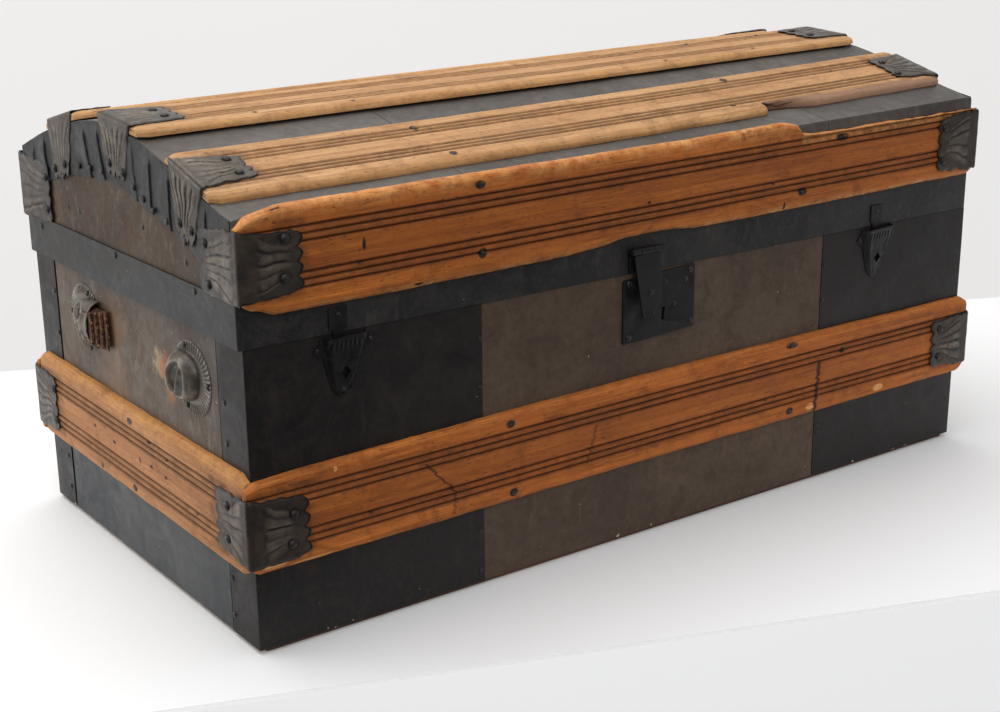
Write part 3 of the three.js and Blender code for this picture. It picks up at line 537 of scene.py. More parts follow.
def lidEndFinish(name):
    # The lid's end boards are painted like the end sheets on the outside, and bare inside.
    material, tree, shader = startFinish(name, 0.62, 0, 0.2)
    place = objectPlace(tree)
    colour, patches, mottle, scuff = sheetColour(tree, place, sheetLooks["end_sheet"])
    fromMiddleX = added(tree, axes(tree, place)[0], -trunkPlaces["lidMiddle"] * metresPerMm)
    outside = spread(tree, maths(tree, "ABSOLUTE", fromMiddleX), 0.3035, 0.304)
    bare = bareBoard(tree, place, boardLooks["end_board_wood"])[1]
    plug(tree, shader.inputs["Base Color"], mixed(tree, outside, bare, colour))
    plug(tree, shader.inputs["Roughness"], spread(tree, mottle, 0.3, 0.7, 0.5, 0.78))
    dents = bumped(tree, cloudy(tree, place, 9, 3, 0.5), 0.4, 0.006)
    plug(tree, shader.inputs["Normal"], bumped(tree, added(tree, mottle, scuff), 0.3, 0.0008, dents))
    return material


leatherLook = {"first": (40, 24, 17), "second": (84, 50, 32), "edge": (150, 106, 64), "roughness": 0.7}


def leatherFinish():
    look = leatherLook
    material, tree, shader = startFinish("torn_leather", look["roughness"], 0, 0.3)
    place = objectPlace(tree)
    streak = cloudy(tree, stretched(tree, place, (300, 420, 70)), 1, 5, 0.7)
    colour = shaded(tree, streak, look["first"], look["second"])
    patchy = spread(tree, cloudy(tree, place, 300, 4, 0.7), 0.5, 0.64)
    frayed = times(tree, attribute(tree, "worn"), patchy)
    colour = covered(tree, colour, frayed, look["edge"])
    plug(tree, shader.inputs["Base Color"], colour)
    plug(tree, shader.inputs["Normal"], bumped(tree, streak, 0.8, 0.0012))
    return material


def fromMiddle(slat, marks):
    # The marks are given from the middle of the CAD's slat, the grain map from the slat's own middle line.
    middle = middleLines[slat]
    return [(along, across - alongLine(middle, along), wide, high) for along, across, wide, high in marks]


flat = [(-400, 0), (400, 0)]
middleLines = {
    "front_belt_slat": [(-311, 1.7), (-270, 2.1), (0, 4.4), (140, 5), (311, 5.2)],
    "left_belt_slat": [(-154, 1.4), (154, -0.8)],
    "front_lid_slat": [(-306, 1.4), (-260, 1.7), (-150, 2.6), (0, 3.7), (100, 4.7), (306, 6.4)],
    "slope_lid_slat": [(-306, -4.6), (-100, -4.2), (0, -3.4), (100, -2), (250, 1.5), (306, 2.4)],
    "top_lid_slat": [(-306, -6), (0, -6.5), (200, -3), (306, -2)],
}
slatMarks = {
    "front_belt_wood": {
        "wood": "front_wood", "slat": "front_belt_slat",
        "cracks": (
            {"place": -181.5, "lean": -0.92, "low": -12, "high": 11, "width": 1.3, "depth": 0.7},
            {"place": -171, "lean": 0.03, "low": -26, "high": -12, "width": 1.2, "depth": 0.4},
            {"place": 146, "lean": 0.07, "low": -31, "high": 8, "width": 2.2, "depth": 0.9},
            {"place": -62, "lean": 0.3, "low": -18, "high": 6, "width": 1.2, "depth": 0.4},
        ),
        "holes": (
            (-129, 26, 3.2, 2.5), (-127, -20, 3, 2.6), (118, 31, 5.4, 2.2), (118, -18, 3.2, 2.6),
            (170, 18, 2.6, 2),
        ),
        "chips": (
            (139, -19, 4, 2.5), (212, -19, 5, 3), (-270, -26.5, 14, 1.6), (-296, -24, 7, 2),
            (-254, 27, 1.2, 2),
        ),
    },
    "front_lid_wood": {
        "wood": "front_wood", "slat": "front_lid_slat",
        "holes": (
            (-148, 26, 3.6, 2.4), (-147, -15, 3, 3), (122, -14, 4.2, 2.4), (105, -22, 1, 3),
            (-282, 32, 3, 0.8), (160, 20, 6, 2.4), (-17, -2.5, 1.2, 1.2), (-228, 3, 1, 3.4),
            (-192, -26, 3, 1),
        ),
    },
    "slope_wood": {
        "wood": "top_wood", "slat": "slope_lid_slat",
        "holes": (
            (-146, 12.5, 2.6, 2.6), (-143, -27, 2.4, 2.4), (93, -21, 2.6, 1.4), (121, -25, 3.4, 2.4),
            (120, 19, 3, 2.4),
        ),
    },
    "left_belt_wood": {
        "wood": "end_wood", "slat": "left_belt_slat",
        "holes": (
            (2, 22.5, 3.6, 1.9), (2.5, -22.5, 3.2, 2.2), (-57, 3.5, 1.8, 1), (-26, 0.8, 2.2, 1),
            (31, 1.2, 2, 0.9), (14, 0.5, 1, 2), (52, 0.2, 1.8, 0.9), (29, 17, 3, 1), (54, 12.5, 1.8, 0.9),
            (-50, -23, 1.2, 2),
        ),
    },
    "back_wood": {"wood": "front_wood"},
    "top_wood": {"wood": "top_wood"},
    "end_wood": {"wood": "end_wood"},
}
finishes = {name: slatFinish(name, **marks) for name, marks in slatMarks.items()}
for makeFinish, looks in ((sheetFinish, sheetLooks), (metalFinish, metalLooks), (boardFinish, boardLooks)):
    finishes.update({name: makeFinish(name) for name in looks})
finishes.update({"lid_end": lidEndFinish("lid_end"), "leather": leatherFinish()})
print("finishes made")

# Making a finished piece from a shape in millimetres


def newObject(name, shape, material):
    mesh = bpy.data.meshes.new(name)
    shape.to_mesh(mesh)
    shape.free()
    mesh.materials.append(material)
    made = bpy.data.objects.new(name, mesh)
    bpy.context.scene.collection.objects.link(made)
    return made


def finishPiece(shape, name, finish, body, replaced, sharpAngle, mended=False):
    if mended:
        bmesh.ops.recalc_face_normals(shape, faces=shape.faces)
    bmesh.ops.transform(shape, matrix=Matrix.Scale(metresPerMm, 4), verts=shape.verts)
    piece = newObject(name, shape, finishes[finish])
    for polygon in piece.data.polygons:
        polygon.use_smooth = True
    piece.data.set_sharp_from_angle(angle=math.radians(sharpAngle))
    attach(piece, body)
    if replaced:
        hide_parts(*replaced)


def drawOut(shape, line, edges, way, steps):
    # Draws a line of points out into a surface, one straight way in equal steps.
    return bmesh.ops.spin(
        shape, geom=line + edges, cent=(0, 0, 0), axis=(0, 0, 1), angle=0, steps=steps,
        dvec=[part / steps for part in way], use_merge=False, use_duplicate=False,
    )


def turnTowards(shape, way):
    # Turns an open surface over if its faces look away from where they should.
    shape.normal_update()
    if sum((face.normal for face in shape.faces), Vector()).dot(Vector(way)) < 0:
        bmesh.ops.reverse_faces(shape, faces=shape.faces)


def thicken(shape, thickness):
    # The shape is an open surface that faces outwards, and its copy inside follows the points' own normals.
    shape.normal_update()
    inside = [(vert, vert.co - vert.normal * thickness) for vert in shape.verts]
    bmesh.ops.extrude_face_region(shape, geom=shape.faces[:])
    for vert, place in inside:
        vert.co = place
    shape.normal_update()


def framed(origin, along, out):
    along, out = Vector(along), Vector(out).normalized()
    return Matrix.Translation(origin) @ Matrix((along, out.cross(along), out)).transposed().to_4x4()


def facing(side, place):
    # A frame on an upright face of the trunk, with its Z out of the face and its Y upwards.
    return framed(place, Vector((0, 0, 1)).cross(Vector(outwards[side])), outwards[side])


def climbRight(shape, amount):
    for vert in shape.verts:
        vert.co.z += lidClimb(vert.co.x, amount)


def climbWithDome(shape):
    for vert in shape.verts:
        vert.co.z += lidClimb(vert.co.x, trunkPlaces["domeClimb"]) * wallShare(vert.co.z)


# A CAD node's own shape with softened edges, for the flat fittings and boards


softEdges = {"flatWithin": 1, "cornerOver": 30, "weldWithin": 0.002, "segments": 2, "sharpAngle": 20}


def softened(node, name, finish, width, shaping=None):
    shape = bmesh.new()
    shape.from_mesh(frame["nodes"][node].data)
    bmesh.ops.transform(shape, matrix=Matrix.Scale(1 / metresPerMm, 4), verts=shape.verts)
    bmesh.ops.remove_doubles(shape, verts=shape.verts, dist=softEdges["weldWithin"])
    bmesh.ops.dissolve_limit(
        shape, angle_limit=math.radians(softEdges["flatWithin"]), use_dissolve_boundaries=False,
        verts=shape.verts, edges=shape.edges,
    )
    corner = math.radians(softEdges["cornerOver"])
    bmesh.ops.bevel(
        shape, geom=[e for e in shape.edges if e.is_manifold and e.calc_face_angle(0) > corner], offset=width,
        offset_type="OFFSET", segments=softEdges["segments"], profile=0.5, affect="EDGES", clamp_overlap=True,
        material=-1,
    )
    for vert in shape.verts if shaping else ():
        shaping(vert.co)
    body = frame["nodes"][node]["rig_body"]
    finishPiece(shape, name, finish, body, (node,), softEdges["sharpAngle"], True)


# Slats: a grooved section drawn out along the slat, then worn

slatSizes = {
    "half": 30, "edge": 4.4, "groupOffset": 12.9, "pitch": 4.2, "grooveHalf": 1.45, "grooveDepth": 1.5,
    "grooveRoom": 0.3, "step": 2.3, "fieldStep": 2.1, "wornReach": 5, "endRound": 7, "endCut": 3.4,
    "endSink": 1.3, "splitSink": 0.9, "underClamp": 38,
}
plainSlat = {"half": 28.5, "groupOffset": 11.5, "pitch": 3.4}
grooveProfile = ((-1, 0), (-0.45, 0.35), (0, 1), (0.45, 0.35), (1, 0))


def slatSection(sizes, thickness):
    half, edge, grooveHalf = sizes["half"], sizes["edge"], sizes["grooveHalf"]
    centres = [side * sizes["groupOffset"] + i * sizes["pitch"] for side in (-1, 1) for i in (-1, 0, 1)]
    top = [
        (centre + reach * grooveHalf, thickness - sink * sizes["grooveDepth"])
        for centre in centres for reach, sink in grooveProfile
    ]
    count = round(2 * (half - edge) / sizes["fieldStep"])
    for i in range(1, count):
        across = -half + edge + 2 * (half - edge) * i / count
        if all(abs(across - centre) > grooveHalf + sizes["grooveRoom"] for centre in centres):
            top.append((across, thickness))
    rounded = []
    for i in range(7):
        turn = math.radians(15 * i)
        rounded.append((-half + edge - edge * math.cos(turn), thickness - edge + edge * math.sin(turn)))
    mirrored = [(-across, out) for across, out in reversed(rounded)]
    return [(-half, 0), *rounded, *sorted(top), *mirrored, (half, 0)]


def makeSlat(name, look):
    sizes = {**slatSizes, **look.get("section", {})}
    length, thickness, seed, half = look["length"], look["thickness"], look["seed"], sizes["half"]
    inner = sizes["groupOffset"] + sizes["pitch"] + sizes["grooveHalf"] + sizes["grooveRoom"]
    middle = middleLines.get(name, flat)
    shape = bmesh.new()
    ring = [shape.verts.new((-length / 2, across, out)) for across, out in slatSection(sizes, thickness)]
    loop = [shape.edges.new(pair) for pair in zip(ring, ring[1:] + ring[:1])]
    swept = drawOut(shape, ring, loop, (length, 0, 0), round(length / sizes["step"]))
    bmesh.ops.contextual_create(shape, geom=loop)
    lastEdges = [item for item in swept["geom_last"] if isinstance(item, bmesh.types.BMEdge)]
    bmesh.ops.contextual_create(shape, geom=lastEdges)
    bmesh.ops.recalc_face_normals(shape, faces=shape.faces)
    grain = shape.loops.layers.uv.new("grain")
    for face in shape.faces:
        for corner in face.loops:
            along, across, out = corner.vert.co
            side = -1 if across < 0 else 1
            corner[grain].uv = (along * metresPerMm, (across + side * (thickness - out)) * metresPerMm)
    layers = {key: shape.verts.layers.float.new(key) for key in ("groove", "worn", "dirt", "faded")}
    broken = look.get("broken")
    for vert in shape.verts:
        along, across, out = vert.co
        side = -1 if across < 0 else 1
        fromEnd = length / 2 - abs(along)
        outside = abs(across) > inner
        if not outside and out > thickness / 2:
            vert[layers["groove"]] = min((thickness - out) / sizes["grooveDepth"], 1) ** 1.6
            near = abs(abs(across) - sizes["groupOffset"]) < sizes["pitch"] + 1.5
            vert[layers["dirt"]] = 0.4 * near
        reach = look.get("wornReach", sizes["wornReach"]) if side > 0 else sizes["wornReach"]
        edgeShare = eased((abs(across) - half + 5) / 4)
        rubbed = eased((abs(across) - half + reach) / (reach - 1)) * look.get("wornShare", 1)
        vert[layers["worn"]] = rubbed * (0.5 + 0.5 * wander(along, 26, seed + side))
        if outside:
            edge = half + alongLine(look["top" if side > 0 else "bottom"], along)
            edge += 0.45 * wander(along, 34, seed + 2 * side) + 0.25 * wander(along, 7, seed + 5 * side)
            if broken and side > 0 and along > broken:
                edge += 0.9 * wander(along, 11, seed + 9) + 0.5 * wander(along, 4, seed + 11)
                vert[layers["worn"]] = 0.9 + 0.3 * wander(along, 9, seed)
            edge -= sizes["endCut"] * (1 - eased(fromEnd / sizes["endRound"]))
            vert.co.y = side * (inner + (abs(across) - inner) * (edge - inner) / (half - inner))
            vert.co.z = out * (1 - 0.05 * edgeShare * (1 + wander(along, 22, seed + 7 * side)))
        if out > 0:
            vert.co.z -= sizes["endSink"] * (1 - eased(fromEnd / 3.5)) * out / thickness
            vert.co.z += 0.16 * wanderAt(along, across, 30, seed) * (out / thickness)
            if broken and along > broken and abs(across - sizes["groupOffset"] - sizes["pitch"]) < 3.2:
                ragged = 0.7 + 0.3 * wander(along, 13, seed)
                vert.co.z -= sizes["splitSink"] * eased((along - broken) / 3) * ragged
                vert[layers["groove"]] *= 0.25
                vert[layers["worn"]] = 0.75
        grime = 1 - eased((fromEnd - sizes["underClamp"]) / 7)
        vert[layers["dirt"]] = max(vert[layers["dirt"]], grime * 0.6 * (abs(across) < half - 7))
        vert.co.y += alongLine(middle, along)
    if "shaping" in look:
        look["shaping"](shape, layers)
    bmesh.ops.transform(shape, matrix=look["frame"], verts=shape.verts)
    climbRight(shape, look.get("climb", 0))
    finishPiece(shape, name, look["finish"], look["body"], (look["node"],), 32)


splitEdge = {"start": 117, "end": 172, "line": -22, "opening": 5.5, "sink": 2.4, "stripSink": 0.9}


def splitFrontEdge(shape, layers):
    # The slope slat's front edge has split off at its nail; the strip to the right has sunk and gone grey.
    start, line = splitEdge["start"], splitEdge["line"]
    for vert in shape.verts:
        along, across, out = vert.co
        if along > start and across < line:
            opened = eased((along - start) / 3) * eased((splitEdge["end"] - along) / 50)
            depth = min((line - across) / 6, 1)
            vert.co.y += (splitEdge["opening"] * opened * depth) if across < line - 3 else 0
            vert.co.z -= opened * splitEdge["sink"] * min(depth * 2, 1) * (out > 1)
            vert[layers["dirt"]] = max(vert[layers["dirt"]], opened)
            vert[layers["groove"]] = max(vert[layers["groove"]], 0.9 * opened * (depth > 0.3))
        if along > start and across < line + 0.5:
            strip = eased((along - start) / 8)
            vert[layers["faded"]] = 0.85 * strip
            vert[layers["worn"]] = 0
            vert.co.z -= splitEdge["stripSink"] * strip * (out > 1)


lidMiddle, beltHeight = trunkPlaces["lidMiddle"], trunkPlaces["beltHeight"]
wallSlatHeight = trunkPlaces["wallSlatHeight"]
longBelt = {"body": "trunk", "length": 622, "thickness": 6}
endBelt = {"body": "trunk", "length": 308, "thickness": 6}
wallSlat = {"body": "lid", "length": 612, "thickness": 6, "climb": trunkPlaces["wallSlatClimb"]}
domeSlat = {
    "body": "lid", "length": 612, "thickness": 5.2, "climb": trunkPlaces["domeClimb"], "top": flat,
    "bottom": flat,
}
plainBelt = {"top": flat, "bottom": flat, "section": plainSlat}
slatLooks = {
    "front_belt_slat": {
        **longBelt, "node": "front_body_slat", "frame": facing("front", (0, -154.1, beltHeight)), "seed": 1,
        "finish": "front_belt_wood", "wornShare": 0.25,
        "top": [(-311, -4), (-300, -3.4), (-280, -2.6), (-200, -1.4), (-120, -0.4), (0, 0.4), (311, 0)],
        "bottom": [(-311, -0.6), (-200, -0.4), (0, -0.4), (140, -0.2), (311, 0)],
        "nails": [(-129, 26), (-127, -20), (118, 31), (118, -18)],
    },
    "left_belt_slat": {
        **endBelt, "node": "left_body_slat", "frame": facing("left", (-305.1, 0, beltHeight)), "seed": 2,
        "finish": "left_belt_wood", "wornReach": 10, "wornShare": 1.3,
        "top": [(-154, 1), (60, 1), (154, 2)], "bottom": [(-154, -1), (154, -1)],
        "nails": [(2, 22.5), (2.5, -22.5)],
    },
    "right_belt_slat": {
        **endBelt, **plainBelt, "node": "right_body_slat", "frame": facing("right", (305.1, 0, beltHeight)),
        "seed": 3, "finish": "end_wood", "nails": [(-8, 22), (-6, -21), (70, 20), (-84, -4)],
    },
    "back_belt_slat": {
        **longBelt, **plainBelt, "node": "back_body_slat", "frame": facing("back", (0, 154.1, beltHeight)),
        "seed": 4, "finish": "back_wood", "nails": [(-122, 22), (-120, -21), (124, 22), (126, -20), (2, 21)],
    },
    "front_lid_slat": {
        **wallSlat, "node": "lid_front_slat", "frame": facing("front", (lidMiddle, -154.8, wallSlatHeight)),
        "seed": 5, "finish": "front_lid_wood", "broken": 120, "wornReach": 10, "wornShare": 1.3,
        "top": [
            (-306, -6.5), (-298, -3.4), (-280, 0), (-200, 0.2), (0, -0.6), (60, -0.6), (104, 0.2), (117, -2),
            (121, -8.6), (140, -10.8), (160, -11.6), (200, -11.2), (250, -12), (306, -12.4),
        ],
        "bottom": [
            (-306, -5.5), (-293, -3), (-286, 0.2), (-200, 1.1), (-80, 1), (-50, -0.6), (-38, -3), (-20, -3.4),
            (4, -2.8), (24, -0.6), (80, 0.4), (306, 0.6),
        ],
        "nails": [(-148, 26), (-147, -15), (122, -14)],
    },
    "back_lid_slat": {
        **wallSlat, **plainBelt, "node": "lid_back_slat", "seed": 6, "finish": "back_wood", "length": 604,
        "frame": facing("back", (lidMiddle, 154.8, wallSlatHeight)),
        "nails": [(-140, 22), (-138, -20), (130, 22), (132, -21)],
    },
    "slope_lid_slat": {
        **domeSlat, "node": "lid_front_slope_slat", "seed": 7, "finish": "slope_wood",
        "shaping": splitFrontEdge, "frame": framed((lidMiddle, -99, 270.69), (1, 0, 0), (0, -0.27, 0.9629)),
        "top": [(-306, 1.5), (-200, 0), (100, -0.6), (200, 0), (306, 0.8)],
        "bottom": [(-306, 0), (60, 0.5), (306, 0)],
        "nails": [(-146, 12.5), (-143, -27), (120, 20), (121, -25)],
    },
    "top_lid_slat": {
        **domeSlat, "node": "lid_top_slat", "seed": 8, "finish": "top_wood",
        "frame": framed((lidMiddle, -7, 288.9), (1, 0, 0), (0, -0.0698, 0.9976)),
        "nails": [
            (-153, 2), (-159, -31), (-227, -29), (166, 14), (242, 16), (198, -25), (106, -29), (109, 7),
        ],
    },
    "rear_lid_slat": {
        **domeSlat, "node": "lid_back_slope_slat", "seed": 9, "finish": "top_wood", "section": plainSlat,
        "frame": framed((lidMiddle, 80, 279.8), (1, 0, 0), (0, 0.2318, 0.9728)),
        "nails": [(-150, 20), (-146, -20), (118, 20), (124, -18)],
    },
}
for slatName, slatLook in slatLooks.items():
    makeSlat(slatName, slatLook)
print("slats made")

# Nails: a low domed head, all those of a body in one piece

nailSizes = {"segments": 10, "rings": 10, "shine": 0.5}


def addNail(shape, place, radius, rise):
    fold = shape.verts.layers.float.get("fold") or shape.verts.layers.float.new("fold")
    made = bmesh.ops.create_uvsphere(
        shape, u_segments=nailSizes["segments"], v_segments=nailSizes["rings"], radius=1,
        matrix=place @ Matrix.Diagonal((radius, radius, rise, 1)),
    )["verts"]
    for vert in made:
        # Painted highlight: the shine value lightens each head through the finish's ridge colour.
        vert[fold] = nailSizes["shine"]


def atPoint(frameMatrix, along, across, out):
    return frameMatrix @ Matrix.Translation((along, across, out))


def climbed(place, amount):
    return Matrix.Translation((0, 0, lidClimb(place.translation.x, amount))) @ place


trunkNails, lidNails, haspNails = bmesh.new(), bmesh.new(), bmesh.new()
for slatLook in slatLooks.values():
    for nailAlong, nailAcross in slatLook["nails"]:
        place = atPoint(slatLook["frame"], nailAlong, nailAcross, slatLook["thickness"])
        nails = trunkNails if slatLook["body"] == "trunk" else lidNails
        addNail(nails, climbed(place, slatLook.get("climb", 0)), 1.7, 0.35)

# Clamps: stamped sheet bent over a slat's end, gathered in pleats that close up towards its nails

clampSizes = {
    "faceLeg": 40, "endLeg": 38, "centre": 0, "half": 22, "tip": 0.88, "tipCentre": 0, "bend": 1.8,
    "low": 0.4, "high": 1.6, "sheet": 0.6, "alongSteps": 84, "acrossSteps": 60, "pleats": 2.6, "smooth": 3,
    "gather": 0.5, "lobes": 4, "ragged": 3.2,
}


def pleatHeight(reach, side, leg, sizes, seed):
    gathered = 1 - sizes["gather"] * eased(reach / (0.8 * leg))
    place = side / gathered + 0.16 * wanderAt(reach, side * 22, 13, seed)
    wave = abs(math.sin(math.pi * sizes["pleats"] * place + seed))
    ridge = (1 - 2 * (1 - wave) ** 2) * (0.8 + 0.6 * wander(place * 5, 2, seed + 1))
    strength = eased((reach - sizes["smooth"]) / 5) * eased((0.88 * leg - reach) / (0.24 * leg))
    return ridge * strength * eased((1.2 - abs(place)) / 0.3) + 0.3 * wanderAt(reach, side * 22, 6, seed + 5)


def clampLeg(look, leg):
    sizes = {**clampSizes, **look, **look.get(leg, {})}
    sizes["leg"] = sizes.get("leg") or sizes["faceLeg" if leg == "face" else "endLeg"]
    sizes["nails"] = sizes.get("nails") or [(0.75 * sizes["leg"], -10), (0.75 * sizes["leg"], 10)]
    return sizes


def makeClamp(name, look):
    legs = {leg: clampLeg(look, leg) for leg in ("face", "end")}
    shared, seed = legs["face"], look["seed"]
    bend, rise = shared["bend"], shared["high"] - shared["low"]
    along, across, out, down, origin = (Vector(look[k]) for k in ("along", "across", "out", "down", "origin"))
    upright = math.copysign(1, across.dot(Vector((0, 0.2, 1))))
    shape = bmesh.new()
    bmesh.ops.create_grid(shape, x_segments=shared["alongSteps"], y_segments=shared["acrossSteps"], size=1)
    fold = shape.verts.layers.float.new("fold")
    total = legs["face"]["leg"] + legs["end"]["leg"]
    for vert in shape.verts:
        place = (vert.co.x + 1) / 2 * total - legs["end"]["leg"]
        side = vert.co.y
        sizes = legs["face" if place > 0 else "end"]
        legSeed = seed + (0 if place > 0 else 4)
        share = abs(place) / sizes["leg"]
        half = sizes["half"] * (1 - (1 - sizes["tip"]) * share)
        half *= 1 + 0.09 * wander(place, 6, seed + (side > 0)) * eased(share / 0.2)
        lobes = abs(math.sin(math.pi * sizes["lobes"] * (side + 1) / 2))
        cut = sizes["ragged"] * (1 - lobes) + 1.6 * wander(side * 22, 4, legSeed)
        place -= math.copysign(1, place) * eased((share - 0.7) / 0.3) * cut
        sideways = sizes["centre"] + (sizes["tipCentre"] - sizes["centre"]) * share + side * half
        folded = pleatHeight(abs(place), side, sizes["leg"], sizes, legSeed)
        for reach, nailAcross in sizes["nails"]:
            near = math.hypot(abs(place) - reach, sideways - nailAcross)
            folded -= (folded + 0.55) * (1 - eased((near - 2.2) / 4))
        folded = max(min(folded, 1), -1)
        # The fold paints shade in the pleats' troughs and round the nails, and highlights on the pleats'
        # ridges; along the last of the rim it is -1, a dark outline that is painted shadow at the clamp's
        # edges.
        vert[fold] = -1 if max(abs(side), share) > 0.955 else folded
        height = sizes["low"] + rise * (folded + 1) / 2
        height = 0.35 + (height - 0.35) * eased((1 - abs(side)) / 0.07)
        sideways *= upright
        if place > bend:
            point, normal = origin + along * place, out
        elif place < -bend:
            point, normal = origin + down * -place, -along
        else:
            turn = math.radians(90) * (bend - place) / (2 * bend)
            normal = out * math.cos(turn) - along * math.sin(turn)
            point = origin + (along + down + normal) * bend
        vert.co = point + across * sideways + normal * height
    turnTowards(shape, out - along)
    thicken(shape, shared["sheet"])
    climbRight(shape, look["climb"])
    finishPiece(shape, name, look["finish"], look["body"], (look["node"],), 50)
    nails = trunkNails if look["body"] == "trunk" else lidNails
    for leg, direction, nailOut, turned in (("face", along, out, along), ("end", down, -along, across)):
        rise = 0.7 if nailOut.y > 0.2 else 1.5
        for reach, nailAcross in legs[leg]["nails"]:
            point = origin + direction * reach + across * (upright * nailAcross) + nailOut * 0.9
            addNail(nails, climbed(framed(point, turned, nailOut), look["climb"]), 2.8, rise)


def clampLook(node, origin, along, out, down, body, finish, seed, climb=0):
    across = Vector(out).cross(Vector(along))
    return {
        "node": node, "origin": origin, "along": along, "across": across, "out": out, "down": down,
        "body": body, "finish": finish, "seed": seed, "climb": climb,
    }


# Spans, tips and nails of the clamps that the photograph shows, from the bend and the slat's middle
clampMarks = {
    "front_left_lid_clamp": {
        "centre": 0.5, "half": 19.5, "tipCentre": 0, "smooth": 9, "pleats": 2,
        "face": {"leg": 39, "nails": [(28, 14), (27, -8)]},
        "end": {
            "leg": 46, "tipCentre": -1.5, "half": 21, "smooth": 3, "pleats": 2.4,
            "nails": [(38, 8.5), (36, -14.5)],
        },
    },
    "front_right_lid_clamp": {
        "centre": 2, "half": 22, "tipCentre": 2, "smooth": 9, "pleats": 2,
        "face": {"leg": 45, "nails": [(38, 14), (38, -10)]},
    },
    "front_left_belt_clamp": {
        "centre": -2, "half": 21, "tipCentre": -3, "smooth": 8, "pleats": 2.2,
        "face": {"leg": 39, "nails": [(29, 5.5), (27, -12.5)]},
        "end": {"tipCentre": 0, "smooth": 2, "nails": [(24, 10), (25, -11)]},
    },
    "front_right_belt_clamp": {
        "centre": 3, "half": 20.5, "tipCentre": 3.5, "smooth": 8, "pleats": 2.2,
        "face": {"leg": 43, "nails": [(33, 14.5), (33, -7)]},
    },
    "back_left_belt_clamp": {"end": {"smooth": 2, "nails": [(34, 11), (34, -12)]}},
    "back_left_lid_clamp": {"end": {"leg": 55, "nails": [(48, 10.5), (47, -11.5)]}},
    "slope_left_lid_clamp": {
        "centre": -4, "half": 20, "tipCentre": -6, "tip": 0.7,
        "face": {"leg": 38, "nails": [(29, 5), (28, -13)]},
        "end": {
            "leg": 40, "half": 22, "centre": -2, "tipCentre": 1.5, "tip": 0.5, "nails": [(33, 8), (31, -7)],
        },
    },
    "slope_right_lid_clamp": {
        "half": 22, "tip": 0.78, "face": {"leg": 40, "nails": [(29, 10), (34, -11)]},
        "end": {"leg": 40, "tip": 0.5, "nails": [(33, 8), (31, -7)]},
    },
    "top_left_lid_clamp": {
        "centre": -3, "half": 23, "tipCentre": -6, "tip": 0.8,
        "face": {"leg": 37, "nails": [(27, 3), (27, -14)]},
        "end": {"leg": 36, "centre": 0, "tipCentre": 0, "tip": 0.58, "nails": [(29, 9), (31, -10)]},
    },
    "top_right_lid_clamp": {"face": {"leg": 40}, "end": {"leg": 36, "tip": 0.58}},
    "rear_left_lid_clamp": {
        "face": {"leg": 30, "high": 0.8},
        "end": {
            "leg": 40, "half": 21.5, "centre": 1, "tipCentre": -1, "tip": 0.62, "nails": [(32, 5), (33, -13)],
        },
    },
    "rear_right_lid_clamp": {"end": {"leg": 40, "tip": 0.62}},
}
# Where the clamps bend: at the ends of the belt and the wall slats, and on the dome with each slat's lean
clampPlaces = {"beltEnd": 311.4, "beltFace": 160.4, "lidEnd": 306.3, "lidFace": 161.1}
domeClamps = (
    ("slope", "lid_front_slope_slat", -100.48, 275.99, -0.27),
    ("top", "lid_top_slat", -7.41, 294.4, -0.0698),
    ("rear", "lid_back_slope_slat", 81.27, 285.56, 0.2318),
)
clampLooks = {}
for side, sign in (("left", 1), ("right", -1)):
    lidEnd = lidMiddle - sign * clampPlaces["lidEnd"]
    for face, depth in (("front", -1), ("back", 1)):
        clampLooks[f"{face}_{side}_belt_clamp"] = clampLook(
            f"{face}_{side}_corner_clamp",
            (-sign * clampPlaces["beltEnd"], depth * clampPlaces["beltFace"], beltHeight),
            (sign, 0, 0), (0, depth, 0), (0, -depth, 0), "trunk", "clamp_dark", 1 + sign + 3 * depth,
        )
        clampLooks[f"{face}_{side}_lid_clamp"] = clampLook(
            f"lid_{face}_slat_{side}_clamp", (lidEnd, depth * clampPlaces["lidFace"], wallSlatHeight),
            (sign, 0, 0), (0, depth, 0), (0, -depth, 0), "lid", "clamp_dark", 11 + sign + 3 * depth,
            trunkPlaces["wallSlatClimb"],
        )
    for name, node, place, height, lean in domeClamps:
        clampLooks[f"{name}_{side}_lid_clamp"] = clampLook(
            f"{node}_{side}_clamp", (lidEnd, place, height), (sign, 0, 0),
            (0, lean, math.sqrt(1 - lean * lean)), (0, 0, -1), "lid", "clamp_light", 21 + sign + lean * 9,
            trunkPlaces["domeClimb"],
        )
for clampName, clampSetting in clampLooks.items():
    makeClamp(clampName, {**clampSetting, **clampMarks.get(clampName, {})})
print("clamps made")

# Lid covering: three sheets over the crown, and a flange of folded tabs on each end


def domeLine():
    mesh = frame["nodes"]["lid_sheet"].data
    found = {}
    for vert in mesh.vertices:
        x, y, z = (value / metresPerMm for value in vert.co)
        if abs(x - lidLeft) < 0.05 and z > trunkPlaces["fold"] - 1:
            key = round(y, 1)
            found[key] = max(found.get(key, 0), z)
    return sorted(found.items())


domePoints = domeLine()


def domeHeight(y):
    return alongLine(domePoints, y)


def domeSlope(y):
    return (domeHeight(y + 3) - domeHeight(y - 3)) / 6


lidSheetSizes = {"seam": 150, "gap": 0.5, "thickness": 0.4, "crease": 1.6, "edge": 0.6, "step": 6}


def lidSection():
    half = trunkPlaces["halfDepth"]
    walls = {}
    for side in (-1, 1):
        top = domeHeight(side * half)
        wall = [(side * half, height) for height in (trunkPlaces["lidBase"], trunkPlaces["bandTop"])]
        walls[side] = wall + [(side * half, top - lidSheetSizes["crease"]), (side * (half - 0.6), top - 0.1)]
    return walls[-1] + [(y, z) for y, z in domePoints if 2 - half < y < half - 1] + walls[1][::-1]


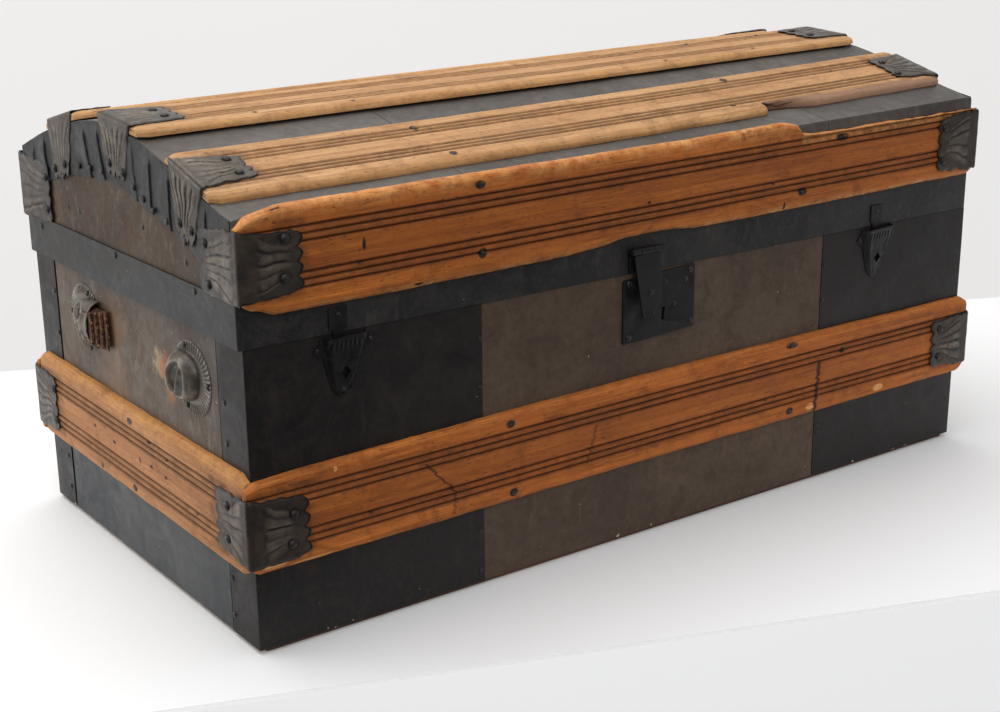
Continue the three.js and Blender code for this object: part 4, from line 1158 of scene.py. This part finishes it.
def makeLidSheet(name, start, end, seed, rounded, replaced=()):
    # The left and the right sheet have rounded outer ends, on the side that rounded gives.
    sizes = lidSheetSizes
    shape = bmesh.new()
    line = [shape.verts.new((start, y, z)) for y, z in lidSection()]
    edges = [shape.edges.new(pair) for pair in zip(line, line[1:])]
    drawOut(shape, line, edges, (end - start, 0, 0), max(2, round((end - start) / sizes["step"])))
    outer = start if rounded < 0 else end
    for vert in shape.verts:
        x, y, z = vert.co
        fromSeam = abs(x - (start + end - outer)) if rounded else min(abs(x - start), abs(x - end))
        if z > trunkPlaces["fold"]:
            dent = max(0, wanderAt(x, y, 46, seed)) * 0.9 + max(0, wanderAt(x, y, 17, seed + 2)) * 0.3
            vert.co.z -= dent * eased(fromSeam / 10) * eased((trunkPlaces["halfDepth"] - abs(y)) / 12)
        if rounded and abs(x - outer) < 0.01 and z > trunkPlaces["fold"] - 1:
            vert.co.z -= sizes["edge"] * math.hypot(1, domeSlope(y))
    if rounded:
        cut = bmesh.ops.bisect_plane(
            shape, geom=shape.verts[:] + shape.edges[:] + shape.faces[:],
            plane_co=(outer - rounded * sizes["edge"], 0, 0), plane_no=(1, 0, 0),
        )
        for item in cut["geom_cut"]:
            if isinstance(item, bmesh.types.BMVert) and item.co.z > trunkPlaces["fold"] - 3:
                target = domeHeight(item.co.y) if abs(item.co.y) < trunkPlaces["halfDepth"] - 1 else item.co.z
                item.co.z = target - 0.15
    turnTowards(shape, (0, 0, 1))
    thicken(shape, sizes["thickness"])
    climbWithDome(shape)
    finishPiece(shape, name, "grey_sheet", "lid", replaced, 30)


# Darts of the turned-down tabs: places at the fold and at the lower edge, and the step between the tabs
tabDarts = (
    (131, 128, 0.8), (110, 107, 1.1), (42, 33, 0.9), (20, 12, 0.9), (-32, -34, 0.5), (-57, -54, 0.9),
    (-81, -79, 0.9), (-126, -124, 0.8),
)
tabEdge = [
    (-153, 213), (-126, 221), (-115, 226), (-100, 232), (-60, 243), (0, 255), (60, 250), (105, 240),
    (126, 226), (153, 213),
]
flangeSizes = {"half": 153, "drop": 0.4, "sheet": 0.3, "alongSteps": 612, "downSteps": 22, "dartReach": 20}


def makeFlange(name, side, seed):
    sizes = flangeSizes
    shape = bmesh.new()
    bmesh.ops.create_grid(shape, x_segments=sizes["alongSteps"], y_segments=sizes["downSteps"], size=1)
    outer = lidLeft if side < 0 else lidRight
    fold = shape.verts.layers.float.new("fold")
    for vert in shape.verts:
        y, share = vert.co.x * sizes["half"], (1 - vert.co.y) / 2
        top = domeHeight(y) - sizes["drop"]
        low = alongLine(tabEdge, y) + 0.9 * wander(y, 8, seed) + 0.5 * wander(y, 3, seed + 1)
        opened = eased((share - 0.06) / 0.2)
        crease, step = 0, 0
        for topPlace, lowPlace, height in tabDarts:
            dart = topPlace + (lowPlace - topPlace) * share
            offset = y - dart - 0.7 * wander(share * 30, 6, seed + topPlace)
            if 0 <= offset < sizes["dartReach"]:
                step = max(step, height * (1 - eased(offset / sizes["dartReach"])) * opened)
            if -0.2 < offset < 0.6:
                crease = opened
        ripple = 0.22 * wanderAt(y, share * 30, 11, seed)
        # Painted shade: a dart's crease gets a fold of -0.95, a thin dark line in the finish's crevice
        # colour.
        vert[fold] = -0.95 * crease + (1 - crease) * (0.5 * ripple + 0.25 * step)
        pressed = 0.2 * crease + 0.25 * eased((share - 0.9) / 0.1) + 0.75 * share * share
        lift = 0.4 + step * 1.1 + ripple - pressed
        vert.co = Vector((outer + side * lift, y, top + (min(low, top) - top) * share))
    turnTowards(shape, (side, 0, 0))
    thicken(shape, sizes["sheet"])
    climbWithDome(shape)
    finishPiece(shape, name, "tab_sheet", "lid", (), 30)


seam, seamGap = lidSheetSizes["seam"], lidSheetSizes["gap"]
makeLidSheet("left_lid_sheet", lidLeft, -seam - seamGap, 31, -1, ("lid_sheet",))
makeLidSheet("middle_lid_sheet", -seam, seam, 32, 0)
makeLidSheet("right_lid_sheet", seam + seamGap, lidRight, 33, 1)
makeFlange("left_lid_tabs", -1, 34)
makeFlange("right_lid_tabs", 1, 35)
tabNails = (
    (80, 246), (52, 257), (34, 258), (15, 259), (-31, 256), (-44, 251), (-57, 246), (-75, 243), (-98, 235),
)
endPanelHoles = ((81, 226, 1.6), (63, 226, 2.6), (-36, 233, 2.0), (-93, 222, 2.2))
for side, sideName, outer in ((-1, "left", lidLeft), (1, "right", lidRight)):
    for y, z in tabNails:
        place = facing(sideName, (outer + side * 0.9, y, z))
        addNail(lidNails, climbed(place, trunkPlaces["domeClimb"] * wallShare(z)), 2.3, 1.0)
    for y, z, radius in endPanelHoles:
        addNail(lidNails, facing(sideName, (outer - side * 1.15, y, z)), radius, 0.8)
print("lid sheets made")

# Band and corner sheets: rounded folds at the corners


def roundedPath(corners, radius, closed=False):
    points = []
    count = len(corners)
    for i, corner in enumerate(corners):
        if not closed and i in (0, count - 1):
            points.append(Vector(corner))
            continue
        here, before, after = Vector(corner), Vector(corners[i - 1]), Vector(corners[(i + 1) % count])
        toBefore, toAfter = (before - here).normalized(), (after - here).normalized()
        for j in range(5):
            share = j / 4
            first = here + toBefore * radius * (1 - share)
            points.append(first.lerp(here + toAfter * radius * share, share))
    return points


def makeFoldedSheet(name, look):
    shape = bmesh.new()
    closed, height = look.get("closed", False), look["high"] - look["low"]
    path = roundedPath(look["corners"], look["radius"], closed)
    filled = []
    for first, second in zip(path, path[1:] + path[:1] if closed else path[1:]):
        count = max(1, round((second - first).length / 12))
        filled += [first.lerp(second, i / count) for i in range(count)]
    if not closed:
        filled.append(path[-1])
    line = [shape.verts.new((p.x, p.y, look["low"])) for p in filled]
    edges = [shape.edges.new(pair) for pair in zip(line, line[1:] + line[:1] if closed else line[1:])]
    drawOut(shape, line, edges, (0, 0, height), max(2, round(height / 9)))
    centre = Vector((0, 0, (look["low"] + look["high"]) / 2))
    for vert in shape.verts:
        x, y, z = vert.co
        dent = max(0, wanderAt(x + y, z, 40, look["seed"])) * look["dent"]
        inward = Vector((-x * (abs(x) > 303), -y * (abs(y) > 152), 0))
        if inward.length > 0:
            vert.co += inward.normalized() * dent
    shape.normal_update()
    if sum(face.normal.dot(face.calc_center_median() - centre) for face in shape.faces) < 0:
        bmesh.ops.reverse_faces(shape, faces=shape.faces)
    thicken(shape, look["thickness"])
    finishPiece(shape, name, look["finish"], look["body"], (look["node"],), 30)


bodySheet = {
    "body": "trunk", "finish": "black_sheet", "slot": "black_sheet", "low": trunkPlaces["sheetFoot"],
    "high": trunkPlaces["seam"], "radius": 1.2, "thickness": 0.55, "dent": 0.25,
}
foldedSheets = {
    "lid_band_sheet": {
        "node": "lid_band", "body": "lid", "finish": "band_sheet", "slot": "grey_sheet",
        "low": trunkPlaces["lidBase"], "high": trunkPlaces["bandTop"], "closed": True, "radius": 1.6,
        "corners": [(-308.4, -155), (304.4, -155), (304.4, 155), (-308.4, 155)],
        "thickness": 0.6, "dent": 0.25, "seed": 41,
    },
    "left_front_sheet": {
        **bodySheet, "node": "front_left_corner_sheet", "seed": 42,
        "corners": [(-145.8, -154.45), (-305.4, -154.45), (-305.4, -121.4)],
    },
    "right_front_sheet": {
        **bodySheet, "node": "front_right_corner_sheet", "seed": 43,
        "corners": [(150.6, -154.45), (305.4, -154.45), (305.4, -121.4)],
    },
    "back_cover_sheet": {
        **bodySheet, "node": "back_sheet", "seed": 44,
        "corners": [(-305.4, 122), (-305.4, 154.4), (305.4, 154.4), (305.4, 122)],
    },
}
for sheetName, sheetLook in foldedSheets.items():
    makeFoldedSheet(sheetName, sheetLook)
print("folded sheets made")

# Nails of the sheets, the band and the lock plate: their faces, their places and their radius and rise

sheetNails = {
    "front": {
        "face": -154.5, "size": (1.7, 0.7),
        "places": (
            (-147.6, 162.6), (-147.6, 131.7), (-148.5, 37), (-149, 10.5), (153, 162.6), (152.5, 137),
            (153.5, 41.7), (154, 36),
        ),
    },
    "end": {
        "face": 305.5, "size": (2.0, 0.8),
        "places": (
            (-127.4, 147.4), (-127.7, 122.8), (-124, 38), (-124, 14.6), (124.5, 131), (129, 39),
            (128.7, 15.6), (126, 160),
        ),
    },
    "band": {"reach": 0.5, "size": (2.3, 0.9), "places": ((130, 205), (6, 208), (-105, 208))},
    "lock": {
        "face": -155.7, "size": (2.2, 1.0),
        "places": ((-30.2, 178), (22.8, 179.7), (-30.2, 141.8), (24, 144.6)),
    },
    "rivets": {"face": -155.7, "size": (1.7, 0.5), "places": ((1, 175), (18.7, 173.9), (9, 159))},
}
for group in (sheetNails[key] for key in ("front", "lock", "rivets")):
    for x, z in group["places"]:
        addNail(trunkNails, facing("front", (x, group["face"], z)), *group["size"])
for side, sideName, bandEnd in ((-1, "left", lidLeft), (1, "right", lidRight)):
    for y, z in sheetNails["end"]["places"]:
        place = facing(sideName, (side * sheetNails["end"]["face"], y, z))
        addNail(trunkNails, place, *sheetNails["end"]["size"])
    for y, z in sheetNails["band"]["places"]:
        place = facing(sideName, (bandEnd + side * sheetNails["band"]["reach"], y, z))
        addNail(lidNails, place, *sheetNails["band"]["size"])

# Fittings that keep the CAD's shape, with softened edges

haspShape = {"centre": -18, "top": 190, "reach": 34, "neck": 1.2, "left": 0.66, "right": 0.42}
lockSkew = {"centre": -4, "slope": 0.045}
catchPlaces = {
    "left": {"tongue": -249, "tongueShare": 0.47, "nail": -245.5, "pocket": -242, "seed": 51},
    "right": {"tongue": 204, "tongueShare": 0.45, "nail": 204, "pocket": 206, "seed": 52},
}


def widenHasp(place):
    # The photographed hasp stays nearly as wide at its rounded end as at its top.
    share = eased((haspShape["top"] - place.z) / haspShape["reach"])
    fromCentre = place.x - haspShape["centre"]
    if abs(fromCentre) > haspShape["neck"]:
        place.x += fromCentre * haspShape["left" if fromCentre < 0 else "right"] * share


def skewLock(place):
    # The photographed lock plate sits a little higher at its right.
    place.z += lockSkew["slope"] * (place.x - lockSkew["centre"])


def narrowed(look):
    def shaping(place):
        place.x = look["tongue"] + (place.x - look["tongue"]) * look["tongueShare"]
    return shaping


softFittings = {
    "lock_plate": ("lock_face", "dark_iron", 0.35, skewLock),
    "hasp_plate": ("hasp_leaf", "dark_iron", 0.2),
    "hasp_pin": ("hasp_rod", "dark_iron", 0.15),
    "hasp": ("hasp_tongue", "dark_iron", 0.4, widenHasp),
    "left_catch_tongue": ("left_catch_leaf", "dark_iron", 0.3, narrowed(catchPlaces["left"])),
    "right_catch_tongue": ("right_catch_leaf", "dark_iron", 0.3, narrowed(catchPlaces["right"])),
    "left_hinge_body_leaf": ("left_hinge_lower", "dark_iron", 0.2),
    "left_hinge_lid_leaf": ("left_hinge_upper", "dark_iron", 0.2),
    "right_hinge_body_leaf": ("right_hinge_lower", "dark_iron", 0.2),
    "right_hinge_lid_leaf": ("right_hinge_upper", "dark_iron", 0.2),
    "front_runner": ("front_runner_strip", "runner_wood", 0.8),
    "back_runner": ("back_runner_strip", "runner_wood", 0.8),
}
for fittingNode, fittingLook in softFittings.items():
    softened(fittingNode, *fittingLook)
print("fittings made")

# Catch pockets: a stamped pocket with ears, flutes under its mouth and a diamond hole

pocketSizes = {
    "top": 182.8, "height": 36.5, "half": 14.5, "tipHalf": 4.2, "ear": 20.5, "earDrop": 12.5, "rise": 5.8,
    "tipRise": 1.8, "sheet": 0.5, "back": -154.15, "lean": 2.4, "holeDrop": 22, "holeHalf": 3.0,
    "nails": ((-17.5, 7.2, 0.9), (17.5, 5.6, 0.9), (-2.1, 32.2, 1.9)),
}


def makePocket(name, node, centre, seed):
    sizes = pocketSizes
    shape = bmesh.new()
    bmesh.ops.create_grid(shape, x_segments=64, y_segments=56, size=1)
    fold = shape.verts.layers.float.new("fold")
    for vert in shape.verts:
        side, drop = vert.co.x, (1 - vert.co.y) / 2
        body = sizes["half"] * (1 - drop) ** 0.85 + sizes["tipHalf"] * drop
        ear = sizes["ear"] - 1.4 * abs(drop * sizes["height"] - 7) ** 0.9 * 0.8
        width = max(body + 1.6, ear if drop * sizes["height"] < sizes["earDrop"] else 0)
        width *= 1 + 0.02 * wander(drop * 35, 5, seed + (side > 0))
        x = side * width
        lower = drop * sizes["height"] * (1 - 0.12 * side * side * drop)
        rise = sizes["rise"] + (sizes["tipRise"] - sizes["rise"]) * drop
        pocket = eased((body - abs(x)) / 3.2 + 0.15)
        relief = 0.5 * math.cos(x * 2.1) * eased((0.24 - drop) / 0.08) * eased((drop - 0.06) / 0.04)
        leaf = 0.4 * wanderAt(abs(x), drop * 35, 4, seed) * eased((drop - 0.2) / 0.1)
        border = 0.4 * math.exp(-((abs(x) - body + 2.4) / 1.1) ** 2)
        border += 0.5 * math.exp(-((drop - 0.04) / 0.02) ** 2)
        # The fold paints shade in the flutes' troughs and highlights on the flutes, the leaf and the raised
        # border; the -0.2 gives the whole pocket a little painted shade.
        folded = relief * 1.3 + leaf * 1.3 + border - 0.2
        vert[fold] = max(-1, min(1, folded * 1.4))
        height = 0.5 + 0.4 * (abs(x) > body) + pocket * (rise - 0.9 + min(0.9, 0.35 * folded + 0.3))
        z = sizes["top"] - lower + lockSkew["slope"] * x
        x += centre - sizes["lean"] * drop
        vert.co = Vector((x, sizes["back"] - min(height, sizes["rise"] + 0.1), z))
    gone = []
    for face in shape.faces:
        middle = face.calc_center_median()
        sideways, lower = abs(middle.x - centre + 0.8), abs(sizes["top"] - sizes["holeDrop"] - middle.z)
        if sideways * 0.9 + lower * 0.75 < sizes["holeHalf"]:
            gone.append(face)
    bmesh.ops.delete(shape, geom=gone, context="FACES")
    turnTowards(shape, outwards["front"])
    thicken(shape, sizes["sheet"])
    finishPiece(shape, name, "dark_iron", "trunk", (node,), 45)
    for x, drop, out in sizes["nails"]:
        addNail(trunkNails, facing("front", (centre + x, sizes["back"] - out, sizes["top"] - drop)), 1.5, 0.8)


for sideName, catch in catchPlaces.items():
    makePocket(f"{sideName}_pocket", f"{sideName}_catch_pocket", catch["pocket"], catch["seed"])
    addNail(lidNails, facing("front", (catch["nail"], -156, 195)), 1.5, 0.6)
print("catches made")

# Handle caps: a fluted oval plate and a hood with an open mouth

capSizes = {
    "halfLength": 25, "halfWidth": 23, "hoodHalf": 15.5, "rise": 11, "sheet": 0.7, "flutes": 46,
    "plateEnd": 17,
    "front": {"mouth": 14, "hoodLength": 24, "loops": [(9.5, -0.5, 8.5, 12)]},
    "rear": {"mouth": 24, "hoodLength": 36, "loops": [(19, -6.6, 9.5, 6), (20, 6.8, 9.5, 6)]},
}


def makeCap(name, node, place, seed, sort):
    sizes = {**capSizes, **capSizes[sort]}
    shape = bmesh.new()
    fold = shape.verts.layers.float.new("fold")
    plate = bmesh.ops.create_grid(shape, x_segments=26, y_segments=184, size=1)["verts"]
    for vert in plate:
        reach, turn = (vert.co.x + 1) / 2, vert.co.y * math.pi
        x, y = reach * sizes["halfLength"] * math.cos(turn), reach * sizes["halfWidth"] * math.sin(turn)
        flute = math.cos(turn * sizes["flutes"]) * eased((reach - 0.66) / 0.06) * eased((1.02 - reach) / 0.05)
        ring = math.exp(-((reach - 0.63) / 0.03) ** 2)
        # Painted shadow: the plate's outer rim gets a fold of -0.9, a dark outline; the flutes and the ring
        # paint shade and highlights.
        vert[fold] = max(-1, min(1, 0.9 * flute + 0.5 * ring - 0.9 * (reach > 0.985)))
        height = 0.55 + 0.4 * flute + 0.4 * ring - 0.45 * eased((reach - 0.95) / 0.05)
        vert.co = Vector((max(x, -sizes["plateEnd"] + 0.6 * wander(y, 6, seed)), y, max(height, 0.1)))
    hood = bmesh.ops.create_grid(shape, x_segments=54, y_segments=72, size=1)["verts"]
    for vert in hood:
        reach, side = math.sin(math.radians(45) * (vert.co.x + 1)), math.sin(math.radians(90) * vert.co.y)
        closing, shoulder = max(1 - reach ** 2.4, 0) ** 0.5, max(1 - abs(side) ** 2.6, 0) ** 0.55
        x, y = sizes["hoodLength"] * reach, sizes["hoodHalf"] * side * max(1 - reach ** 2.6, 0) ** 0.42
        oval = min(
            math.hypot((x - middle) / wide, (y - height) / high)
            for middle, height, wide, high in sizes["loops"]
        )
        vein = sort == "front" and oval < 1
        bead = math.exp(-((oval - 1) / 0.13) ** 2) + 0.7 * math.exp(-((x - 10 - 0.4 * y) / 1.3) ** 2) * vein
        rim = math.exp(-((x - 1.2) / 1.3) ** 2)
        crumple = wanderAt(x, y, 7, seed)
        # Painted highlights on the beads and the mouth's lip, painted shade in the sunk insides of the loops.
        vert[fold] = max(-1, min(1, 1.1 * bead + 0.8 * rim + 0.5 * crumple - 0.6 * (oval < 0.85) - 0.1))
        swell = 0.84 - 0.1 * (1 - eased((oval - 0.75) / 0.2)) + 0.15 * bead + 0.08 * rim + 0.06 * crumple
        torn = 1.3 * wander(side * 17, 4, seed + 3) * (reach < 0.02)
        out = 0.4 + sizes["rise"] * closing * shoulder * min(swell, 1)
        vert.co = Vector((x - sizes["mouth"] + max(torn, 0), y, out))
    bmesh.ops.remove_doubles(shape, verts=shape.verts, dist=0.01)
    bmesh.ops.dissolve_degenerate(shape, edges=shape.edges, dist=0.01)
    shape.normal_update()
    flipped = [face for face in shape.faces if face.normal.z < 0]
    bmesh.ops.reverse_faces(shape, faces=flipped)
    thicken(shape, sizes["sheet"])
    for vert in shape.verts:
        vert.co.z = max(vert.co.z, -0.1)
    bmesh.ops.transform(shape, matrix=place, verts=shape.verts)
    finishPiece(shape, name, "cap_steel", "trunk", (node,), 50)
    for x, y in ((-6, 19.5), (-7, -18), (21.5, 0)):
        addNail(trunkNails, atPoint(place, x, y, 0.9), 1.9, 1.1)


capPlaces = {"reach": 305.1, "front": (-87, 151.5, -1), "rear": (71, 153.5, 1)}
for side, sideName in ((-1, "left"), (1, "right")):
    for sort in ("front", "rear"):
        y, z, depth = capPlaces[sort]
        capPlace = framed((side * capPlaces["reach"], y, z), (0, depth, 0), (side, 0, 0))
        capNode = f"{sideName}_{sort}_handle_cap"
        makeCap(f"{sideName}_{sort}_cap", capNode, capPlace, 61 + side + 3 * depth, sort)
print("handle caps made")

# Torn leather in the rear cap's mouth: ragged layers that split towards their ends

leatherSizes = {"start": 64, "end": 29, "low": 140, "high": 166, "depth": -310.1, "layers": 4, "sheet": 1.3}


def makeLeather():
    sizes = leatherSizes
    shape = bmesh.new()
    worn = shape.verts.layers.float.new("worn")
    for layer in range(sizes["layers"]):
        made = bmesh.ops.create_grid(shape, x_segments=26, y_segments=30, size=1)["verts"]
        for vert in made:
            share, side = (vert.co.x + 1) / 2, vert.co.y
            length = sizes["start"] - sizes["end"]
            torn = 1 - 0.12 * abs(wander(side * 13, 4, 70 + layer)) - 0.125 * layer
            y = sizes["start"] - share * length * torn
            middle = (sizes["low"] + sizes["high"]) / 2
            half = (sizes["high"] - sizes["low"]) / 2 - 0.8 * layer
            z = middle + side * half * (1 - 0.12 * (1 - share)) + 0.5 * wander(share * 20, 6, 74 + layer)
            x = sizes["depth"] + 1.7 - layer * 1.75
            x += 0.3 * wanderAt(share * 20, side * 13, 5, 76 + layer) * share
            vert[worn] = max(eased((share - 0.82) / 0.16), 0.8 * (side < -0.86) * share)
            vert.co = Vector((x, y, z))
    thicken(shape, sizes["sheet"])
    finishPiece(shape, "torn_leather_end", "leather", "trunk", ("leather_handle_stub",), 40, True)


makeLeather()

# Nail pieces, the boards' finishes and the sheets that stay as the CAD has them

haspRivets = {"out": (0, -0.98, -0.17), "places": ((-163.2, 172, 2.3, 0.9), (-165.3, 158.5, 1.6, 0.7))}
for y, z, radius, rise in haspRivets["places"]:
    addNail(haspNails, framed((haspShape["centre"], y, z), (1, 0, 0), haspRivets["out"]), radius, rise)
for nailShape, nailName, nailFinish, nailBody in (
    (trunkNails, "trunk_nails", "nail_steel", "trunk"),
    (lidNails, "lid_nails", "nail_steel", "lid"),
    (haspNails, "hasp_rivets", "dark_iron", "hasp"),
):
    finishPiece(nailShape, nailName, nailFinish, nailBody, (), 60, True)

keptFinishes = {
    "board_wood": [
        "bottom_board", "front_board", "back_board", "lid_front_rail", "lid_back_rail", "lid_crown_board",
    ],
    "end_board_wood": ["left_end_board", "right_end_board"],
    "lid_end": ["lid_left_end_board", "lid_right_end_board"],
    "olive_sheet": ["front_centre_sheet"],
    "end_sheet": ["left_end_sheet", "right_end_sheet"],
}
for finish, nodeNames in keptFinishes.items():
    for nodeName in nodeNames:
        node = frame["nodes"][nodeName]
        node.data.materials.clear()
        node.data.materials.append(finishes[finish])
print("boards and flat sheets finished")

# Floor, wall and soft studio light

stageLook = {
    "table": (237, 237, 237), "wall": (120, 119, 118), "ground": (92, 90, 88), "height": 0.75, "reach": 4,
    "backEdge": ((-0.2365, 0.476), (0.6882, 0.0843)), "frontEdge": ((-0.3833, -0.1749), (0.105, -0.3564)),
    "wallPlace": 2.1, "wallTurn": -22.9, "world": (240, 242, 245), "worldStrength": 0.55,
    "apron": (238, 238, 238), "glow": {"wall": 3.8, "apron": 0.42},
}


def stageFinish(name, colour, glow):
    material, tree, shader = startFinish(name, 0.7, 0, 0.2)
    shader.inputs["Emission Color"].default_value = tint(*colour)
    shader.inputs["Emission Strength"].default_value = glow
    drift = spread(tree, cloudy(tree, objectPlace(tree), 0.7, 2), 0.3, 0.7, 0, 0.06)
    plug(tree, shader.inputs["Base Color"], mixed(tree, drift, tint(*colour), (0.5, 0.52, 0.55, 1)))
    return material


def addStagePiece(name, shape):
    bmesh.ops.recalc_face_normals(shape, faces=shape.faces)
    paint = stageFinish(name + "_paint", stageLook[name], stageLook["glow"].get(name, 0))
    newObject(name, shape, paint)


def addStage():
    table = bmesh.new()
    corners = []
    for edge, ends in (("backEdge", (-1, 1)), ("frontEdge", (1, -1))):
        start, end = (Vector((*point, 0)) for point in stageLook[edge])
        reach = (end - start).normalized() * stageLook["reach"]
        corners += [table.verts.new(start + reach * way) for way in ends]
    top = table.faces.new(corners)
    made = bmesh.ops.extrude_face_region(table, geom=[top])["geom"]
    for item in made:
        if isinstance(item, bmesh.types.BMVert):
            item.co.z = -stageLook["height"]
    apron = bmesh.new()
    near = [apron.verts.new(corner.co - Vector((0.004, 0.004, 0))) for corner in corners[2:]]
    drop = Vector((0, 0, stageLook["height"]))
    apron.faces.new(near + [apron.verts.new(vert.co - drop) for vert in reversed(near)])
    addStagePiece("table", table)
    addStagePiece("apron", apron)
    upright = Matrix.Rotation(math.radians(90), 4, "X")
    turned = Matrix.Rotation(math.radians(stageLook["wallTurn"]), 4, "Z")
    for name, matrix in (
        ("ground", Matrix.Translation((0, 0, -stageLook["height"]))),
        ("wall", turned @ Matrix.Translation((0, stageLook["wallPlace"], 0)) @ upright),
    ):
        flatShape = bmesh.new()
        bmesh.ops.create_grid(flatShape, x_segments=1, y_segments=1, size=6, matrix=matrix)
        addStagePiece(name, flatShape)


lightLooks = {
    "top_softbox": {
        "place": (-0.3, 0.3, 1.9), "aim": (0, 0.1, 0.1), "size": (2.2, 1.8), "power": 32,
        "colour": (1, 0.995, 0.985),
    },
    "left_softbox": {
        "place": (-1.9, 1.4, 0.6), "aim": (-0.3, 0, 0.15), "size": (1.0, 0.9), "power": 12,
        "colour": (0.98, 0.99, 1),
    },
    "front_fill": {
        "place": (-1.0, -2.3, 1.9), "aim": (0, 0, 0.1), "size": (1.8, 1.4), "power": 24,
        "colour": (1, 0.99, 0.98),
    },
}


def addLights():
    for name, look in lightLooks.items():
        data = bpy.data.lights.new(name, "AREA")
        data.shape = "RECTANGLE"
        data.size, data.size_y = look["size"]
        data.energy = look["power"]
        data.color = look["colour"]
        lamp = bpy.data.objects.new(name, data)
        lamp.location = look["place"]
        aim = Vector(look["aim"]) - Vector(look["place"])
        lamp.rotation_euler = aim.to_track_quat("-Z", "Y").to_euler()
        bpy.context.scene.collection.objects.link(lamp)
    world = bpy.data.worlds.new("studio")
    world.use_nodes = True
    background = world.node_tree.nodes["Background"]
    background.inputs[0].default_value = tint(*stageLook["world"])
    background.inputs[1].default_value = stageLook["worldStrength"]
    bpy.context.scene.world = world
    bpy.context.scene.view_settings.view_transform = "Standard"


addStage()
addLights()
print("stage and lights made")
